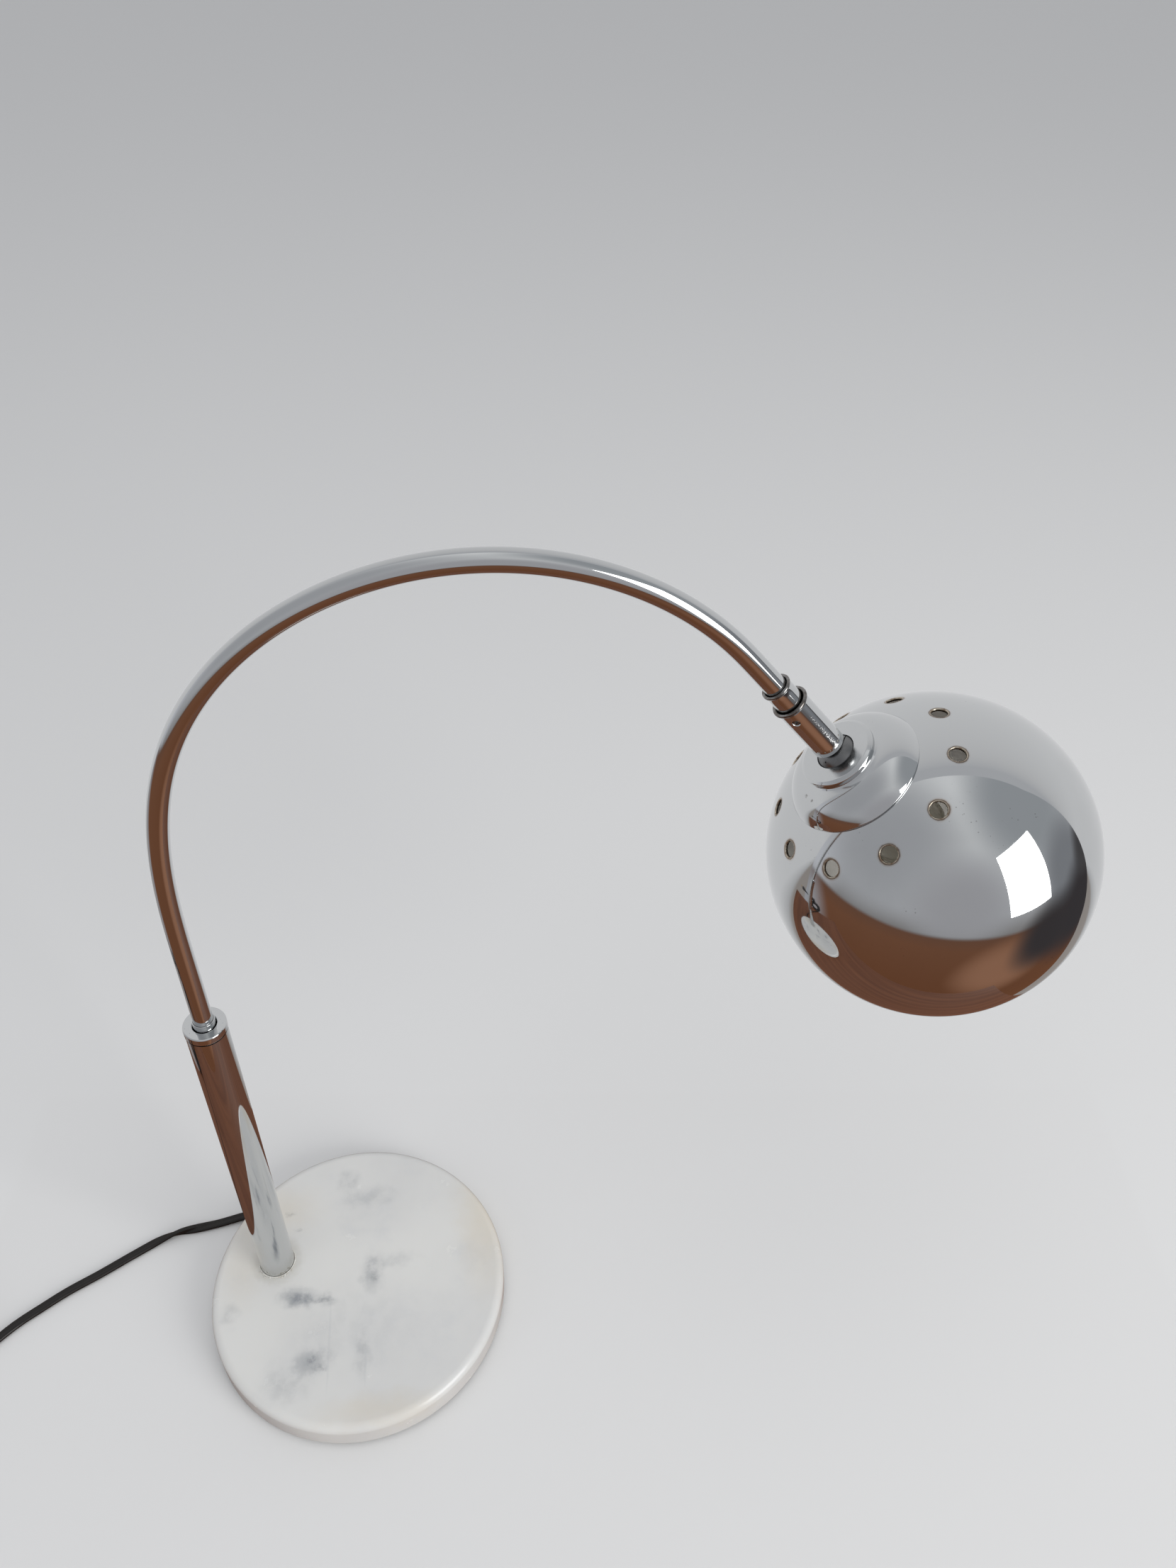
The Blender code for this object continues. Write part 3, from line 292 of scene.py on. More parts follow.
class Shader:
    """A Principled material with small helpers for its nodes."""

    def __init__(self, name, colour, metallic=0.0, rough=0.5, place=None, **sockets):
        self.mat = bpy.data.materials.new(name)
        self.mat.use_nodes = True
        self.tree = self.mat.node_tree
        self.bsdf = self.tree.nodes["Principled BSDF"]
        self.set(self.bsdf, **{"Base Color": (*colour, 1), "Metallic": metallic, "Roughness": rough})
        self.set(self.bsdf, **sockets)
        self.mat.diffuse_color = (*colour, 1)
        self.coords = self.node("ShaderNodeTexCoord").outputs["Object"]
        if place is not None:
            # The lamp's frame, seen from the part's own frame, which `place` moves to where it stands.
            local = self.node("ShaderNodeMapping", vector_type="TEXTURE")
            self.set(local, Location=place.to_translation(), Rotation=place.to_euler())
            self.link(self.coords, local.inputs["Vector"])
            self.coords = local.outputs["Vector"]

    def set(self, node, **values):
        for key, value in values.items():
            node.inputs[key].default_value = value
        return node

    def node(self, kind, **settings):
        made = self.tree.nodes.new(kind)
        for key, value in settings.items():
            setattr(made, key, value)
        return made

    def link(self, source, target):
        self.tree.links.new(source, target)

    def out(self, socket, name):
        self.link(socket, self.bsdf.inputs[name])

    def mapped(self, scale):
        node = self.set(self.node("ShaderNodeMapping"), Scale=scale)
        self.link(self.coords, node.inputs["Vector"])
        return node.outputs["Vector"]

    def noise(self, scale, detail=3.0, rough=0.55, vector=None):
        node = self.set(self.node("ShaderNodeTexNoise"), Scale=scale, Detail=detail, Roughness=rough)
        self.link(self.coords if vector is None else vector, node.inputs["Vector"])
        return node.outputs["Fac"]

    def cells(self, scale):
        node = self.set(self.node("ShaderNodeTexVoronoi"), Scale=scale)
        self.link(self.coords, node.inputs["Vector"])
        return node.outputs["Distance"]

    def math(self, operation, a, b=None, c=None, clamp=False):
        node = self.node("ShaderNodeMath", operation=operation, use_clamp=clamp)
        for socket, value in zip(node.inputs, (a, b, c)):
            if value is None:
                continue
            if isinstance(value, (int, float)):
                socket.default_value = value
            else:
                self.link(value, socket)
        return node.outputs["Value"]

    def times(self, a, b, clamp=False):
        return self.math("MULTIPLY", a, b, clamp=clamp)

    def plus(self, a, b, clamp=False):
        return self.math("ADD", a, b, clamp=clamp)

    def xyz(self, vector=None):
        node = self.node("ShaderNodeSeparateXYZ")
        self.link(self.coords if vector is None else vector, node.inputs["Vector"])
        return node.outputs["X"], node.outputs["Y"], node.outputs["Z"]

    def range(self, value, low, high, to_low=0.0, to_high=1.0):
        node = self.node("ShaderNodeMapRange", interpolation_type="SMOOTHSTEP")
        self.link(value, node.inputs["Value"])
        self.set(node, **{"From Min": low, "From Max": high, "To Min": to_low, "To Max": to_high})
        return node.outputs["Result"]

    def mix(self, factor, a, b):
        node = self.node("ShaderNodeMix", data_type="RGBA", blend_type="MIX")
        if isinstance(factor, (int, float)):
            node.inputs["Factor"].default_value = factor
        else:
            self.link(factor, node.inputs["Factor"])
        for socket, value in ((node.inputs[6], a), (node.inputs[7], b)):
            if isinstance(value, tuple):
                socket.default_value = (*value, 1)
            else:
                self.link(value, socket)
        return node.outputs[2]

    def bump(self, height, strength, distance):
        node = self.set(self.node("ShaderNodeBump"), Strength=strength, Distance=distance)
        self.link(height, node.inputs["Height"])
        self.link(node.outputs["Normal"], self.bsdf.inputs["Normal"])

    def spot(self, place, size, soft=0.5, wobble=None):
        """1 inside a soft-edged ellipsoid, 0 outside; wobble is a vector that the edge is bent by."""
        vector = self.coords if wobble is None else wobble
        node = self.set(self.node("ShaderNodeVectorMath", operation="SUBTRACT"))
        self.link(vector, node.inputs[0])
        node.inputs[1].default_value = place
        scaled = self.node("ShaderNodeVectorMath", operation="DIVIDE")
        self.link(node.outputs["Vector"], scaled.inputs[0])
        scaled.inputs[1].default_value = size
        length = self.node("ShaderNodeVectorMath", operation="LENGTH")
        self.link(scaled.outputs["Vector"], length.inputs[0])
        return self.range(length.outputs["Value"], 1.0 - soft, 1.0 + soft, 1.0, 0.0)

    def wobble(self, amount, scale):
        """Object coordinates bent by noise."""
        node = self.set(self.node("ShaderNodeTexNoise"), Scale=scale, Detail=4.0)
        self.link(self.coords, node.inputs["Vector"])
        shift = self.node("ShaderNodeVectorMath", operation="SUBTRACT")
        self.link(node.outputs["Color"], shift.inputs[0])
        shift.inputs[1].default_value = (0.5, 0.5, 0.5)
        sized = self.node("ShaderNodeVectorMath", operation="SCALE")
        self.link(shift.outputs["Vector"], sized.inputs[0])
        sized.inputs["Scale"].default_value = amount
        added = self.node("ShaderNodeVectorMath", operation="ADD")
        self.link(self.coords, added.inputs[0])
        self.link(sized.outputs["Vector"], added.inputs[1])
        return added.outputs["Vector"]


CHROME = (0.64, 0.65, 0.655)


def chrome(name, streak=None, smudge=0.10, specks=0.5, extra=None, place=None):
    """Old chrome plate: bright, with faint smudges, hair-fine streaks and a few dark specks."""
    made = Shader(name, CHROME, 1.0, 0.05, place)
    stretch = made.mapped(streak or (1, 1, 1))
    film = made.noise(14, 5, 0.6, stretch)
    fine = made.noise(210, 3, 0.6, stretch)
    rough = made.plus(made.range(film, 0.5, 0.78, 0.028, smudge), made.range(fine, 0.6, 0.85, 0.0, 0.03))
    dots = made.cells(420)
    where = made.noise(38, 2)
    speck = made.times(made.range(dots, 0.10, 0.17, 1.0, 0.0), made.range(where, 0.60, 0.70, 0.0, specks))
    tone = made.mix(made.range(film, 0.45, 0.8, 0.0, 0.25), CHROME, (0.47, 0.475, 0.48))
    tone = made.mix(speck, tone, (0.09, 0.075, 0.06))
    rough = made.plus(rough, made.times(speck, 0.35))
    if extra is not None:
        tone, rough = extra(made, tone, rough)
    made.out(tone, "Base Color")
    made.out(rough, "Roughness")
    made.bump(made.noise(30, 2, 0.5, stretch), 0.03, 0.0006)
    return made.mat


def stem_streaks_and_groove_shade(made, tone, rough):
    """Long dull streaks, and painted shade on the top edge, in the groove under the cap."""
    stretch = made.mapped((60, 60, 5.5))
    lines = made.noise(1.6, 5, 0.65, stretch)
    mask = made.times(made.range(lines, 0.56, 0.68), made.range(made.noise(9, 2), 0.42, 0.62))
    tone = made.mix(made.times(mask, 0.55), tone, (0.25, 0.255, 0.27))
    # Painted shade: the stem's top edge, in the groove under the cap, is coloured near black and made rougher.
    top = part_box("stem_tube")[1].z
    groove = made.range(made.xyz()[2], top - 0.0004, top - 0.00025)
    tone = made.mix(groove, tone, (0.010, 0.009, 0.008))
    rough = made.plus(rough, made.times(groove, 0.5))
    return tone, made.plus(rough, made.times(mask, 0.14))


def sleeve_pits(made, tone, rough):
    """Tarnished lips, and lifted plate in a line along one side of the large sleeve."""
    for place, size, weight in (
        ((-0.0040, -0.0062, 0.0290), (0.0015, 0.0012, 0.0062), 0.5),
        ((-0.0038, -0.0063, 0.0190), (0.0010, 0.0010, 0.0042), 0.3)
    ):
        area = made.times(made.spot(place, size, 0.45, made.wobble(0.0022, 520)), weight)
        grain = made.range(made.noise(1900, 3, 0.7), 0.49, 0.56)
        mask = made.times(area, grain)
        tone = made.mix(mask, tone, (0.80, 0.80, 0.81))
        rough = made.plus(rough, made.times(mask, 0.42))
        pits = made.times(area, made.range(made.noise(1100, 2, 0.6), 0.60, 0.66))
        tone = made.mix(made.times(pits, 0.8), tone, (0.10, 0.085, 0.075))
    z = made.xyz()[2]
    lips = made.plus(
        made.range(z, -0.0029, -0.0023, 1.0, 0.0),
        made.times(made.range(z, 0.0056, 0.0062), made.range(z, 0.0080, 0.0086, 1.0, 0.0))
    )
    grime = made.times(lips, made.range(made.noise(260, 4, 0.65), 0.30, 0.62, 0.55, 0.95))
    tone = made.mix(grime, tone, (0.13, 0.112, 0.10))
    return tone, made.plus(rough, made.times(lips, 0.16))


def cap_spots(made, tone, rough):
    """A worn, duller top plate, and three small groups of pits on the flare."""
    plate = made.range(made.xyz()[2], -0.0050, -0.0046, 1.0, 0.0)
    rough = made.plus(rough, made.times(plate, made.range(made.noise(60, 4), 0.3, 0.7, 0.08, 0.16)))
    for place in ((0.0212, -0.0075, 0.0008), (0.0262, -0.0035, 0.0052), (0.0198, -0.0118, 0.0005)):
        mask = made.spot(place, (0.00085, 0.00085, 0.00085), 0.4, made.wobble(0.0012, 1500))
        grain = made.times(mask, made.range(made.noise(2600, 2), 0.42, 0.55))
        tone = made.mix(made.times(grain, 0.75), tone, (0.16, 0.14, 0.12))
        rough = made.plus(rough, made.times(grain, 0.3))
    return tone, rough


def ball_material():
    """Dull steel, mottled, with a dark line by its neck and a pit."""
    base = (0.205, 0.206, 0.208)
    made = Shader("dull_ball", base, 1.0, 0.30, AT_HEAD)
    cloud = made.noise(150, 4)
    tone = made.mix(made.range(cloud, 0.4, 0.75, 0.0, 0.6), base, (0.125, 0.125, 0.125))
    # A dark line across the ball near its neck, kept to one patch.
    flat = made.node("ShaderNodeVectorMath", operation="DOT_PRODUCT")
    made.link(made.wobble(0.0003, 900), flat.inputs[0])
    flat.inputs[1].default_value = (-0.642, -0.492, 0.588)
    dark_line_by_neck = made.range(made.math("ABSOLUTE", made.plus(flat.outputs["Value"], 0.00097)), 0.00016, 0.00036, 1.0, 0.0)
    dark_line_by_neck = made.times(dark_line_by_neck, made.spot((-0.0060, 0.0015, -0.0065), (0.0052, 0.0052, 0.0045), 0.25))
    pit = made.spot((0.00535, -0.00453, -0.00713), (0.0004, 0.0004, 0.0004), 0.5, made.wobble(0.0003, 2200))
    dark = made.plus(dark_line_by_neck, pit, clamp=True)
    made.out(made.mix(made.times(dark, 0.94), tone, (0.012, 0.011, 0.010)), "Base Color")
    made.out(made.plus(made.range(cloud, 0.3, 0.7, 0.24, 0.40), made.times(dark, 0.4)), "Roughness")
    made.bump(made.noise(500, 4, 0.6), 0.03, 0.0004)
    return made.mat


def satin_metal(name, colour, rough, scale=600, spread=0.12, bump=0.06, metallic=1.0):
    made = Shader(name, colour, metallic, rough)
    grain = made.noise(scale, 4, 0.6)
    cloud = made.noise(70, 3)
    dark = tuple(value * 0.62 for value in colour)
    made.out(made.mix(made.range(cloud, 0.4, 0.75, 0.0, 0.55), colour, dark), "Base Color")
    made.out(made.range(grain, 0.3, 0.7, rough - spread, rough + spread), "Roughness")
    made.bump(grain, bump, 0.0004)
    return made.mat


def plastic(name, colour, rough, dust=0.12):
    made = Shader(name, colour, 0.0, rough)
    grain = made.noise(900, 3, 0.6)
    cloud = made.noise(55, 4)
    made.out(made.mix(made.range(cloud, 0.5, 0.8, 0.0, dust), colour, (0.32, 0.30, 0.28)), "Base Color")
    made.out(made.range(cloud, 0.3, 0.75, rough - 0.07, rough + 0.14), "Roughness")
    made.bump(grain, 0.05, 0.0004)
    return made.mat


def marble_material():
    """White marble with soft grey clouds, a few darker marks and a yellowed rim."""
    made = Shader(
        "white_marble", (0.68, 0.68, 0.66), 0.0, 0.3, **{"Subsurface Weight": 0.12, "Subsurface Scale": 0.004}
    )
    made.bsdf.inputs["Subsurface Radius"].default_value = (1.0, 0.85, 0.7)
    body = made.noise(26, 6, 0.62)
    wide = made.noise(9, 4, 0.55)
    white = made.mix(made.range(wide, 0.35, 0.7), (0.712, 0.705, 0.682), (0.648, 0.644, 0.633))
    tone = made.mix(made.range(body, 0.52, 0.78, 0.0, 0.35), white, (0.56, 0.57, 0.585))
    bent = made.wobble(0.010, 120)
    tight = made.wobble(0.006, 260)
    mottle = made.range(made.noise(330, 5, 0.7), 0.40, 0.62)
    cloudy = made.range(made.noise(110, 4, 0.6), 0.36, 0.62)
    soft_marks = (
        ((-0.0372, -0.0088, 0.020), (0.0100, 0.0048, 0.012), 0.42),
        ((-0.0285, -0.0118, 0.020), (0.0125, 0.0036, 0.012), 0.30),
        ((-0.0260, -0.0490, 0.020), (0.0095, 0.0066, 0.012), 0.34),
        ((0.0080, 0.0030, 0.020), (0.0062, 0.0100, 0.012), 0.34),
        ((0.0200, 0.0100, 0.020), (0.0120, 0.0050, 0.012), 0.16),
        ((-0.0092, 0.0670, 0.020), (0.0060, 0.0070, 0.012), 0.20),
        ((0.0050, 0.0540, 0.020), (0.0150, 0.0055, 0.012), 0.20),
        ((-0.0400, -0.0590, 0.020), (0.0120, 0.0100, 0.012), 0.22),
        ((0.0030, -0.0480, 0.020), (0.0042, 0.0110, 0.012), 0.22),
        ((-0.0779, -0.0148, 0.020), (0.0050, 0.0050, 0.012), 0.20),
        ((-0.0050, -0.0300, 0.020), (0.0300, 0.0200, 0.012), 0.08),
    )
    total = None
    for place, size, weight in soft_marks:
        mask = made.times(made.spot(place, size, 0.75, bent), weight)
        total = mask if total is None else made.plus(total, mask)
    total = made.times(total, made.math("MULTIPLY_ADD", cloudy, 0.75, 0.45))
    tone = made.mix(made.times(total, 1.2, clamp=True), tone, (0.27, 0.285, 0.305))
    dark_marks = (
        ((-0.0225, -0.0116, 0.020), (0.0062, 0.0016, 0.01), 0.75),
        ((-0.0268, -0.0478, 0.020), (0.0030, 0.0022, 0.01), 0.80),
        ((-0.0215, -0.0530, 0.020), (0.0042, 0.0020, 0.01), 0.60),
        ((0.0094, -0.0004, 0.020), (0.0022, 0.0030, 0.01), 0.60),
        ((-0.0455, 0.0467, 0.020), (0.0030, 0.0014, 0.01), 0.60),
        ((-0.0399, 0.0352, 0.020), (0.0022, 0.0012, 0.01), 0.45),
        ((-0.0370, -0.0090, 0.020), (0.0060, 0.0022, 0.01), 0.50),
    )
    total = None
    for place, size, weight in dark_marks:
        mask = made.times(made.spot(place, size, 0.7, tight), weight)
        total = mask if total is None else made.plus(total, mask)
    total = made.times(total, made.math("MULTIPLY_ADD", mottle, 0.7, 0.3))
    tone = made.mix(made.times(total, 0.7, clamp=True), tone, (0.21, 0.22, 0.24))
    # Two hairline seams in the stone, straight down from the marks.
    for x, low, high, weight in ((-0.0166, -0.0640, -0.0150, 0.16), (0.0054, -0.0640, -0.0430, 0.16)):
        mid, half = (low + high) / 2, (high - low) / 2
        line = made.spot((x, mid, 0.020), (0.0007, half, 0.012), 0.5, made.wobble(0.0012, 160))
        tone = made.mix(made.times(line, weight), tone, (0.42, 0.44, 0.46))
    # Yellowed by age along part of the rim and behind the stem's foot.
    for place, size, weight in (
        ((0.0800, 0.0380, 0.016), (0.0150, 0.0440, 0.012), 0.30),
        ((-0.0580, 0.0500, 0.020), (0.0240, 0.0140, 0.012), 0.22),
        ((-0.0720, 0.0200, 0.020), (0.0120, 0.0240, 0.012), 0.16),
        ((0.0150, -0.0800, 0.018), (0.0300, 0.0080, 0.010), 0.22),
    ):
        mask = made.times(made.spot(place, size, 0.8, bent), weight)
        tone = made.mix(mask, tone, (0.60, 0.48, 0.29))
    near_foot = made.times(made.spot((-0.0515, 0.0162, 0.020), (0.0150, 0.0150, 0.012), 0.22, tight), 0.30)
    tone = made.mix(near_foot, tone, (0.46, 0.43, 0.36))
    made.out(tone, "Base Color")
    made.out(made.range(made.noise(60, 4), 0.3, 0.75, 0.20, 0.28), "Roughness")
    pits = made.range(made.noise(700, 3, 0.7), 0.66, 0.74)
    made.bump(made.plus(made.times(made.noise(160, 4), 0.6), made.times(pits, -0.5)), 0.06, 0.0005)
    return made.mat


def shell_material():
    """Chrome with a rusty stain at the rim of each vent, strongest on one of them, and a dark brown ring at each hole's
    edge, partly rust and partly painted shade.
    """
    step = 2 * pi / VENTS

    def stains_and_edge_shade(made, tone, rough):
        x, y, z = made.xyz(made.wobble(0.0006, 520))
        below = made.math("SUBTRACT", z, SHADE_CENTRE * MM)
        out = made.math("SQRT", made.plus(made.times(x, x), made.times(y, y)))
        polar = made.math("ARCTAN2", out, made.times(below, -1.0))
        around = made.math("SUBTRACT", made.math("ARCTAN2", y, x), VENT_START)
        nearest = made.times(made.math("ROUND", made.math("DIVIDE", around, step)), step)
        off = made.times(made.math("SUBTRACT", around, nearest), SHADE_RADIUS * MM * sin(VENT_POLAR))
        down = made.times(made.math("SUBTRACT", polar, VENT_POLAR), SHADE_RADIUS * MM)
        reach = made.math("SQRT", made.plus(made.times(off, off), made.times(down, down)))
        halo = made.range(reach, 0.0038, 0.0058, 1.0, 0.0)
        patch = made.range(made.noise(26, 3), 0.40, 0.66, 0.12, 0.75)
        mask = made.times(halo, patch)
        tone = made.mix(mask, tone, (0.33, 0.20, 0.10))
        # Dark brown ring at each hole's edge: partly rust, partly painted shade where the sheet turns into the hole.
        tone = made.mix(made.times(made.range(reach, 0.0043, 0.0050, 1.0, 0.0), 0.85), tone, (0.13, 0.085, 0.055))
        return tone, made.plus(rough, made.times(mask, 0.30))

    return chrome("shade_chrome", smudge=0.085, specks=0.35, extra=stains_and_edge_shade, place=AT_HEAD)


def flex_material():
    made = Shader("brown_black_flex", (0.012, 0.010, 0.009), 0.0, 0.32, **{"Specular IOR Level": 0.35})
    film = made.noise(60, 4)
    made.out(
        made.mix(made.range(film, 0.52, 0.78, 0.0, 0.25), (0.010, 0.0082, 0.0072), (0.034, 0.029, 0.026)),
        "Base Color"
    )
    made.out(made.range(film, 0.3, 0.75, 0.24, 0.46), "Roughness")
    made.bump(made.noise(700, 3), 0.08, 0.0004)
    return made.mat


def frosted_glass():
    made = Shader("frosted_glass", (0.90, 0.895, 0.87), 0.0, 0.38, **{"Transmission Weight": 0.35, "IOR": 1.45})
    cloud = made.noise(40, 3)
    made.out(made.mix(made.range(cloud, 0.4, 0.7, 0.0, 0.4), (0.92, 0.915, 0.89), (0.84, 0.83, 0.79)), "Base Color")
    made.out(made.range(cloud, 0.3, 0.7, 0.3, 0.46), "Roughness")
    made.bump(made.noise(900, 2), 0.04, 0.0003)
    return made.mat


def felt_material():
    made = Shader("green_felt", (0.030, 0.060, 0.038), 0.0, 0.96)
    fibre = made.noise(1300, 4, 0.7)
    cloud = made.noise(60, 3)
    tone = made.mix(made.range(cloud, 0.4, 0.7), (0.028, 0.058, 0.036), (0.045, 0.078, 0.052))
    made.out(made.mix(made.range(fibre, 0.5, 0.8, 0.0, 0.5), tone, (0.10, 0.14, 0.11)), "Base Color")
    made.out(made.range(fibre, 0.3, 0.7, 0.9, 1.0), "Roughness")
    made.bump(fibre, 0.5, 0.0008)
    return made.mat


def plaster_material():
    made = Shader("old_filler", (0.74, 0.73, 0.69), 0.0, 0.85)
    grain = made.noise(900, 4, 0.7)
    made.out(made.mix(made.range(grain, 0.4, 0.65), (0.78, 0.77, 0.73), (0.52, 0.49, 0.42)), "Base Color")
    made.out(made.range(grain, 0.3, 0.7, 0.75, 0.95), "Roughness")
    made.bump(grain, 0.5, 0.0005)
    return made.mat


MAT = {
    "chrome": chrome("chrome_plate"),
    "stem_chrome": chrome("stem_chrome", streak=(1, 1, 0.22), smudge=0.14, specks=0.35, extra=stem_streaks_and_groove_shade),
    "arm_chrome": chrome("arm_chrome", smudge=0.09, specks=0.45),
    "sleeve_chrome": chrome("sleeve_chrome", smudge=0.12, specks=0.8, extra=sleeve_pits, place=AT_ARM_END),
    "cap_chrome": chrome("cap_chrome", smudge=0.10, specks=0.3, extra=cap_spots, place=AT_HEAD),
    "shell_chrome": shell_material(),
    "inside": satin_metal("shade_inside", (0.62, 0.60, 0.56), 0.55, 240, 0.10, 0.03, metallic=0.0),
    "dull_steel": ball_material(),
    "steel": satin_metal("zinc_steel", (0.50, 0.50, 0.49), 0.36, 700),
    "dark_steel": satin_metal("rim_steel", (0.30, 0.295, 0.29), 0.30, 600, 0.08, 0.03),
    "brass": satin_metal("brass", (0.68, 0.50, 0.24), 0.3, 600),
    "marble": marble_material(),
    "felt": felt_material(),
    "nylon": plastic("nylon", (0.72, 0.70, 0.63), 0.45),
    "flex": flex_material(),
    "black_plastic": plastic("black_plastic", (0.022, 0.021, 0.020), 0.30, dust=0.06),
    "ivory_plastic": plastic("ivory_plastic", (0.72, 0.68, 0.58), 0.34, dust=0.06),
    "ceramic": plastic("ceramic", (0.78, 0.77, 0.73), 0.28, dust=0.1),
    "frosted_glass": frosted_glass(),
    "plaster": plaster_material(),
    "key_plastic": plastic("key_plastic", (0.035, 0.033, 0.031), 0.24, dust=0.05),
}


def dress_cad_nodes():
    for entry in frame["record"]["subparts"]:
        obj = frame["nodes"][entry["node"]]
        mat = MAT[entry["material_slot"]]
        obj.data.materials.clear()
        obj.data.materials.append(mat)


dress_cad_nodes()


# ---------------------------------------------------------------- mesh helpers


def finish_mesh(name, bm, mats, body, place=None, sharp=32, slot=None, replaces=()):
    """A smooth-shaded object from a bmesh in millimetres in its own frame, which place moves to where it stands."""
    bmesh.ops.remove_doubles(bm, verts=bm.verts, dist=1e-4)
    bmesh.ops.recalc_face_normals(bm, faces=bm.faces)
    bm.transform((place or Matrix()) @ Matrix.Scale(MM, 4))
    mesh = bpy.data.meshes.new(name)
    bm.to_mesh(mesh)
    bm.free()
    for mat in mats if isinstance(mats, (list, tuple)) else [mats]:
        mesh.materials.append(mat)
    mesh.shade_smooth()
    mesh.set_sharp_from_angle(angle=radians(sharp))
    obj = bpy.data.objects.new(name, mesh)
    bpy.context.scene.collection.objects.link(obj)
    if replaces:
        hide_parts(*([replaces] if isinstance(replaces, str) else replaces))
    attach(obj, body)
    return obj


def weigh_normals(obj):
    weighted = obj.modifiers.new("weighted", "WEIGHTED_NORMAL")
    weighted.keep_sharp = True
    weighted.weight = 60
    return obj


def filleted(points, steps=5):
    """A closed outline of (x, y, radius) corners, each rounded by its radius."""
    outline = []
    count = len(points)
    for i, (x, y, radius) in enumerate(points):
        corner = Vector((x, y))
        before = Vector(points[i - 1][:2]) - corner
        after = Vector(points[(i + 1) % count][:2]) - corner
        if radius <= 0 or before.length < 1e-9 or after.length < 1e-9:
            outline.append((x, y))
            continue
        half = before.angle(after) / 2
        if half > pi / 2 - 0.01:
            outline.append((x, y))
            continue
        reach = min(radius / tan(half), before.length * 0.49, after.length * 0.49)
        radius = reach * tan(half)
        u, v = before.normalized(), after.normalized()
        centre = corner + (u + v).normalized() * (radius / sin(half))
        start, end = corner + u * reach - centre, corner + v * reach - centre
        sweep = start.angle_signed(end)
        for k in range(steps + 1):
            point = centre + Matrix.Rotation(-sweep * k / steps, 2) @ start
            outline.append((point.x, point.y))
    return outline


def arc(cx, cy, radius, start, end, steps):
    angles = [radians(start + (end - start) * i / steps) for i in range(steps + 1)]
    return [(cx + radius * cos(a), cy + radius * sin(a)) for a in angles]


def revolved(outline, sides=96, ripple=None):
    """Spins a closed (radius, height) outline about Z; ripple(radius, height, angle) may change the radius."""
    bm = bmesh.new()
    loops = []
    for r, z in outline:
        if r < 1e-6:
            loops.append([bm.verts.new((0, 0, z))])
            continue
        ring = []
        for i in range(sides):
            a = 2 * pi * i / sides
            radius = ripple(r, z, a) if ripple else r
            ring.append(bm.verts.new((radius * cos(a), radius * sin(a), z)))
        loops.append(ring)
    for first, second in zip(loops, loops[1:] + loops[:1]):
        if len(first) == 1 and len(second) == 1:
            continue
        for i in range(sides):
            j = (i + 1) % sides
            corners = [first[0]] if len(first) == 1 else [first[i], first[j]]
            corners += [second[0]] if len(second) == 1 else [second[j], second[i]]
            bm.faces.new(corners)
    return bm


def turned(name, outline, mats, body, place=None, sides=96, sharp=32, ripple=None, **more):
    return weigh_normals(finish_mesh(name, revolved(outline, sides, ripple), mats, body, place, sharp, **more))


def join_rings(bm, rings, closed=False):
    """Quads from each ring of vertices to the next, and from the last back to the first if closed."""
    for first, second in zip(rings, rings[1:] + rings[:1] if closed else rings[1:]):
        for i in range(len(first)):
            j = (i + 1) % len(first)
            bm.faces.new((first[i], first[j], second[j], second[i]))


def swept(sections):
    """Joins rings of points, each the same count, into a tube with filled ends."""
    bm = bmesh.new()
    loops = [[bm.verts.new(point) for point in ring] for ring in sections]
    join_rings(bm, loops)
    bm.faces.new(loops[0])
    bm.faces.new(loops[-1])
    return bm


def rounded_rectangle(wide, high, radius, steps=6):
    """Points of a rounded rectangle about the origin."""
    points = []
    for sx, sy, start in ((1, 1, 0), (-1, 1, 90), (-1, -1, 180), (1, -1, 270)):
        cx, cy = sx * (wide / 2 - radius), sy * (high / 2 - radius)
        points += arc(cx, cy, radius, start, start + 90, steps)
    return points


def soft_block(wide, long, low, high, corner, edge):
    """A block with rounded corners and rounded upper and lower edges, standing on its XY outline."""
    rings, profile, steps = [], [], 5
    for i in range(steps + 1):
        a = radians(90 * i / steps)
        profile.append((edge * (1 - sin(a)), low + edge * (1 - cos(a))))
    for i in range(steps + 1):
        a = radians(90 * i / steps)
        profile.append((edge * (1 - cos(a)), high - edge * (1 - sin(a))))
    for inset, z in profile:
        outline = rounded_rectangle(wide - 2 * inset, long - 2 * inset, max(corner - inset, 0.3), 6)
        rings.append([(x, y, z) for x, y in outline])
    return swept(rings)


def cut(obj, bm, place=None):
    """Takes a closed bmesh, in millimetres in place's frame, away from obj."""
    bmesh.ops.recalc_face_normals(bm, faces=bm.faces)
    bm.transform((place or Matrix()) @ Matrix.Scale(MM, 4))
    mesh = bpy.data.meshes.new("tool")
    bm.to_mesh(mesh)
    bm.free()
    tool = bpy.data.objects.new("tool", mesh)
    bpy.context.scene.collection.objects.link(tool)
    modifier = obj.modifiers.new("cut", "BOOLEAN")
    modifier.object = tool
    modifier.solver = "EXACT"
    obj.modifiers.move(len(obj.modifiers) - 1, 0)
    with bpy.context.temp_override(object=obj, active_object=obj, selected_objects=[obj]):
        bpy.ops.object.modifier_apply(modifier=modifier.name)
    bpy.data.objects.remove(tool)
    obj.data.set_sharp_from_angle(angle=radians(30))
    return obj


def block_bm(low, high):
    bm = bmesh.new()
    size = [b - a for a, b in zip(low, high)]
    centre = [(a + b) / 2 for a, b in zip(low, high)]
    bmesh.ops.create_cube(bm, size=1, matrix=Matrix.Translation(centre) @ Matrix.Diagonal((*size, 1)))
    return bm


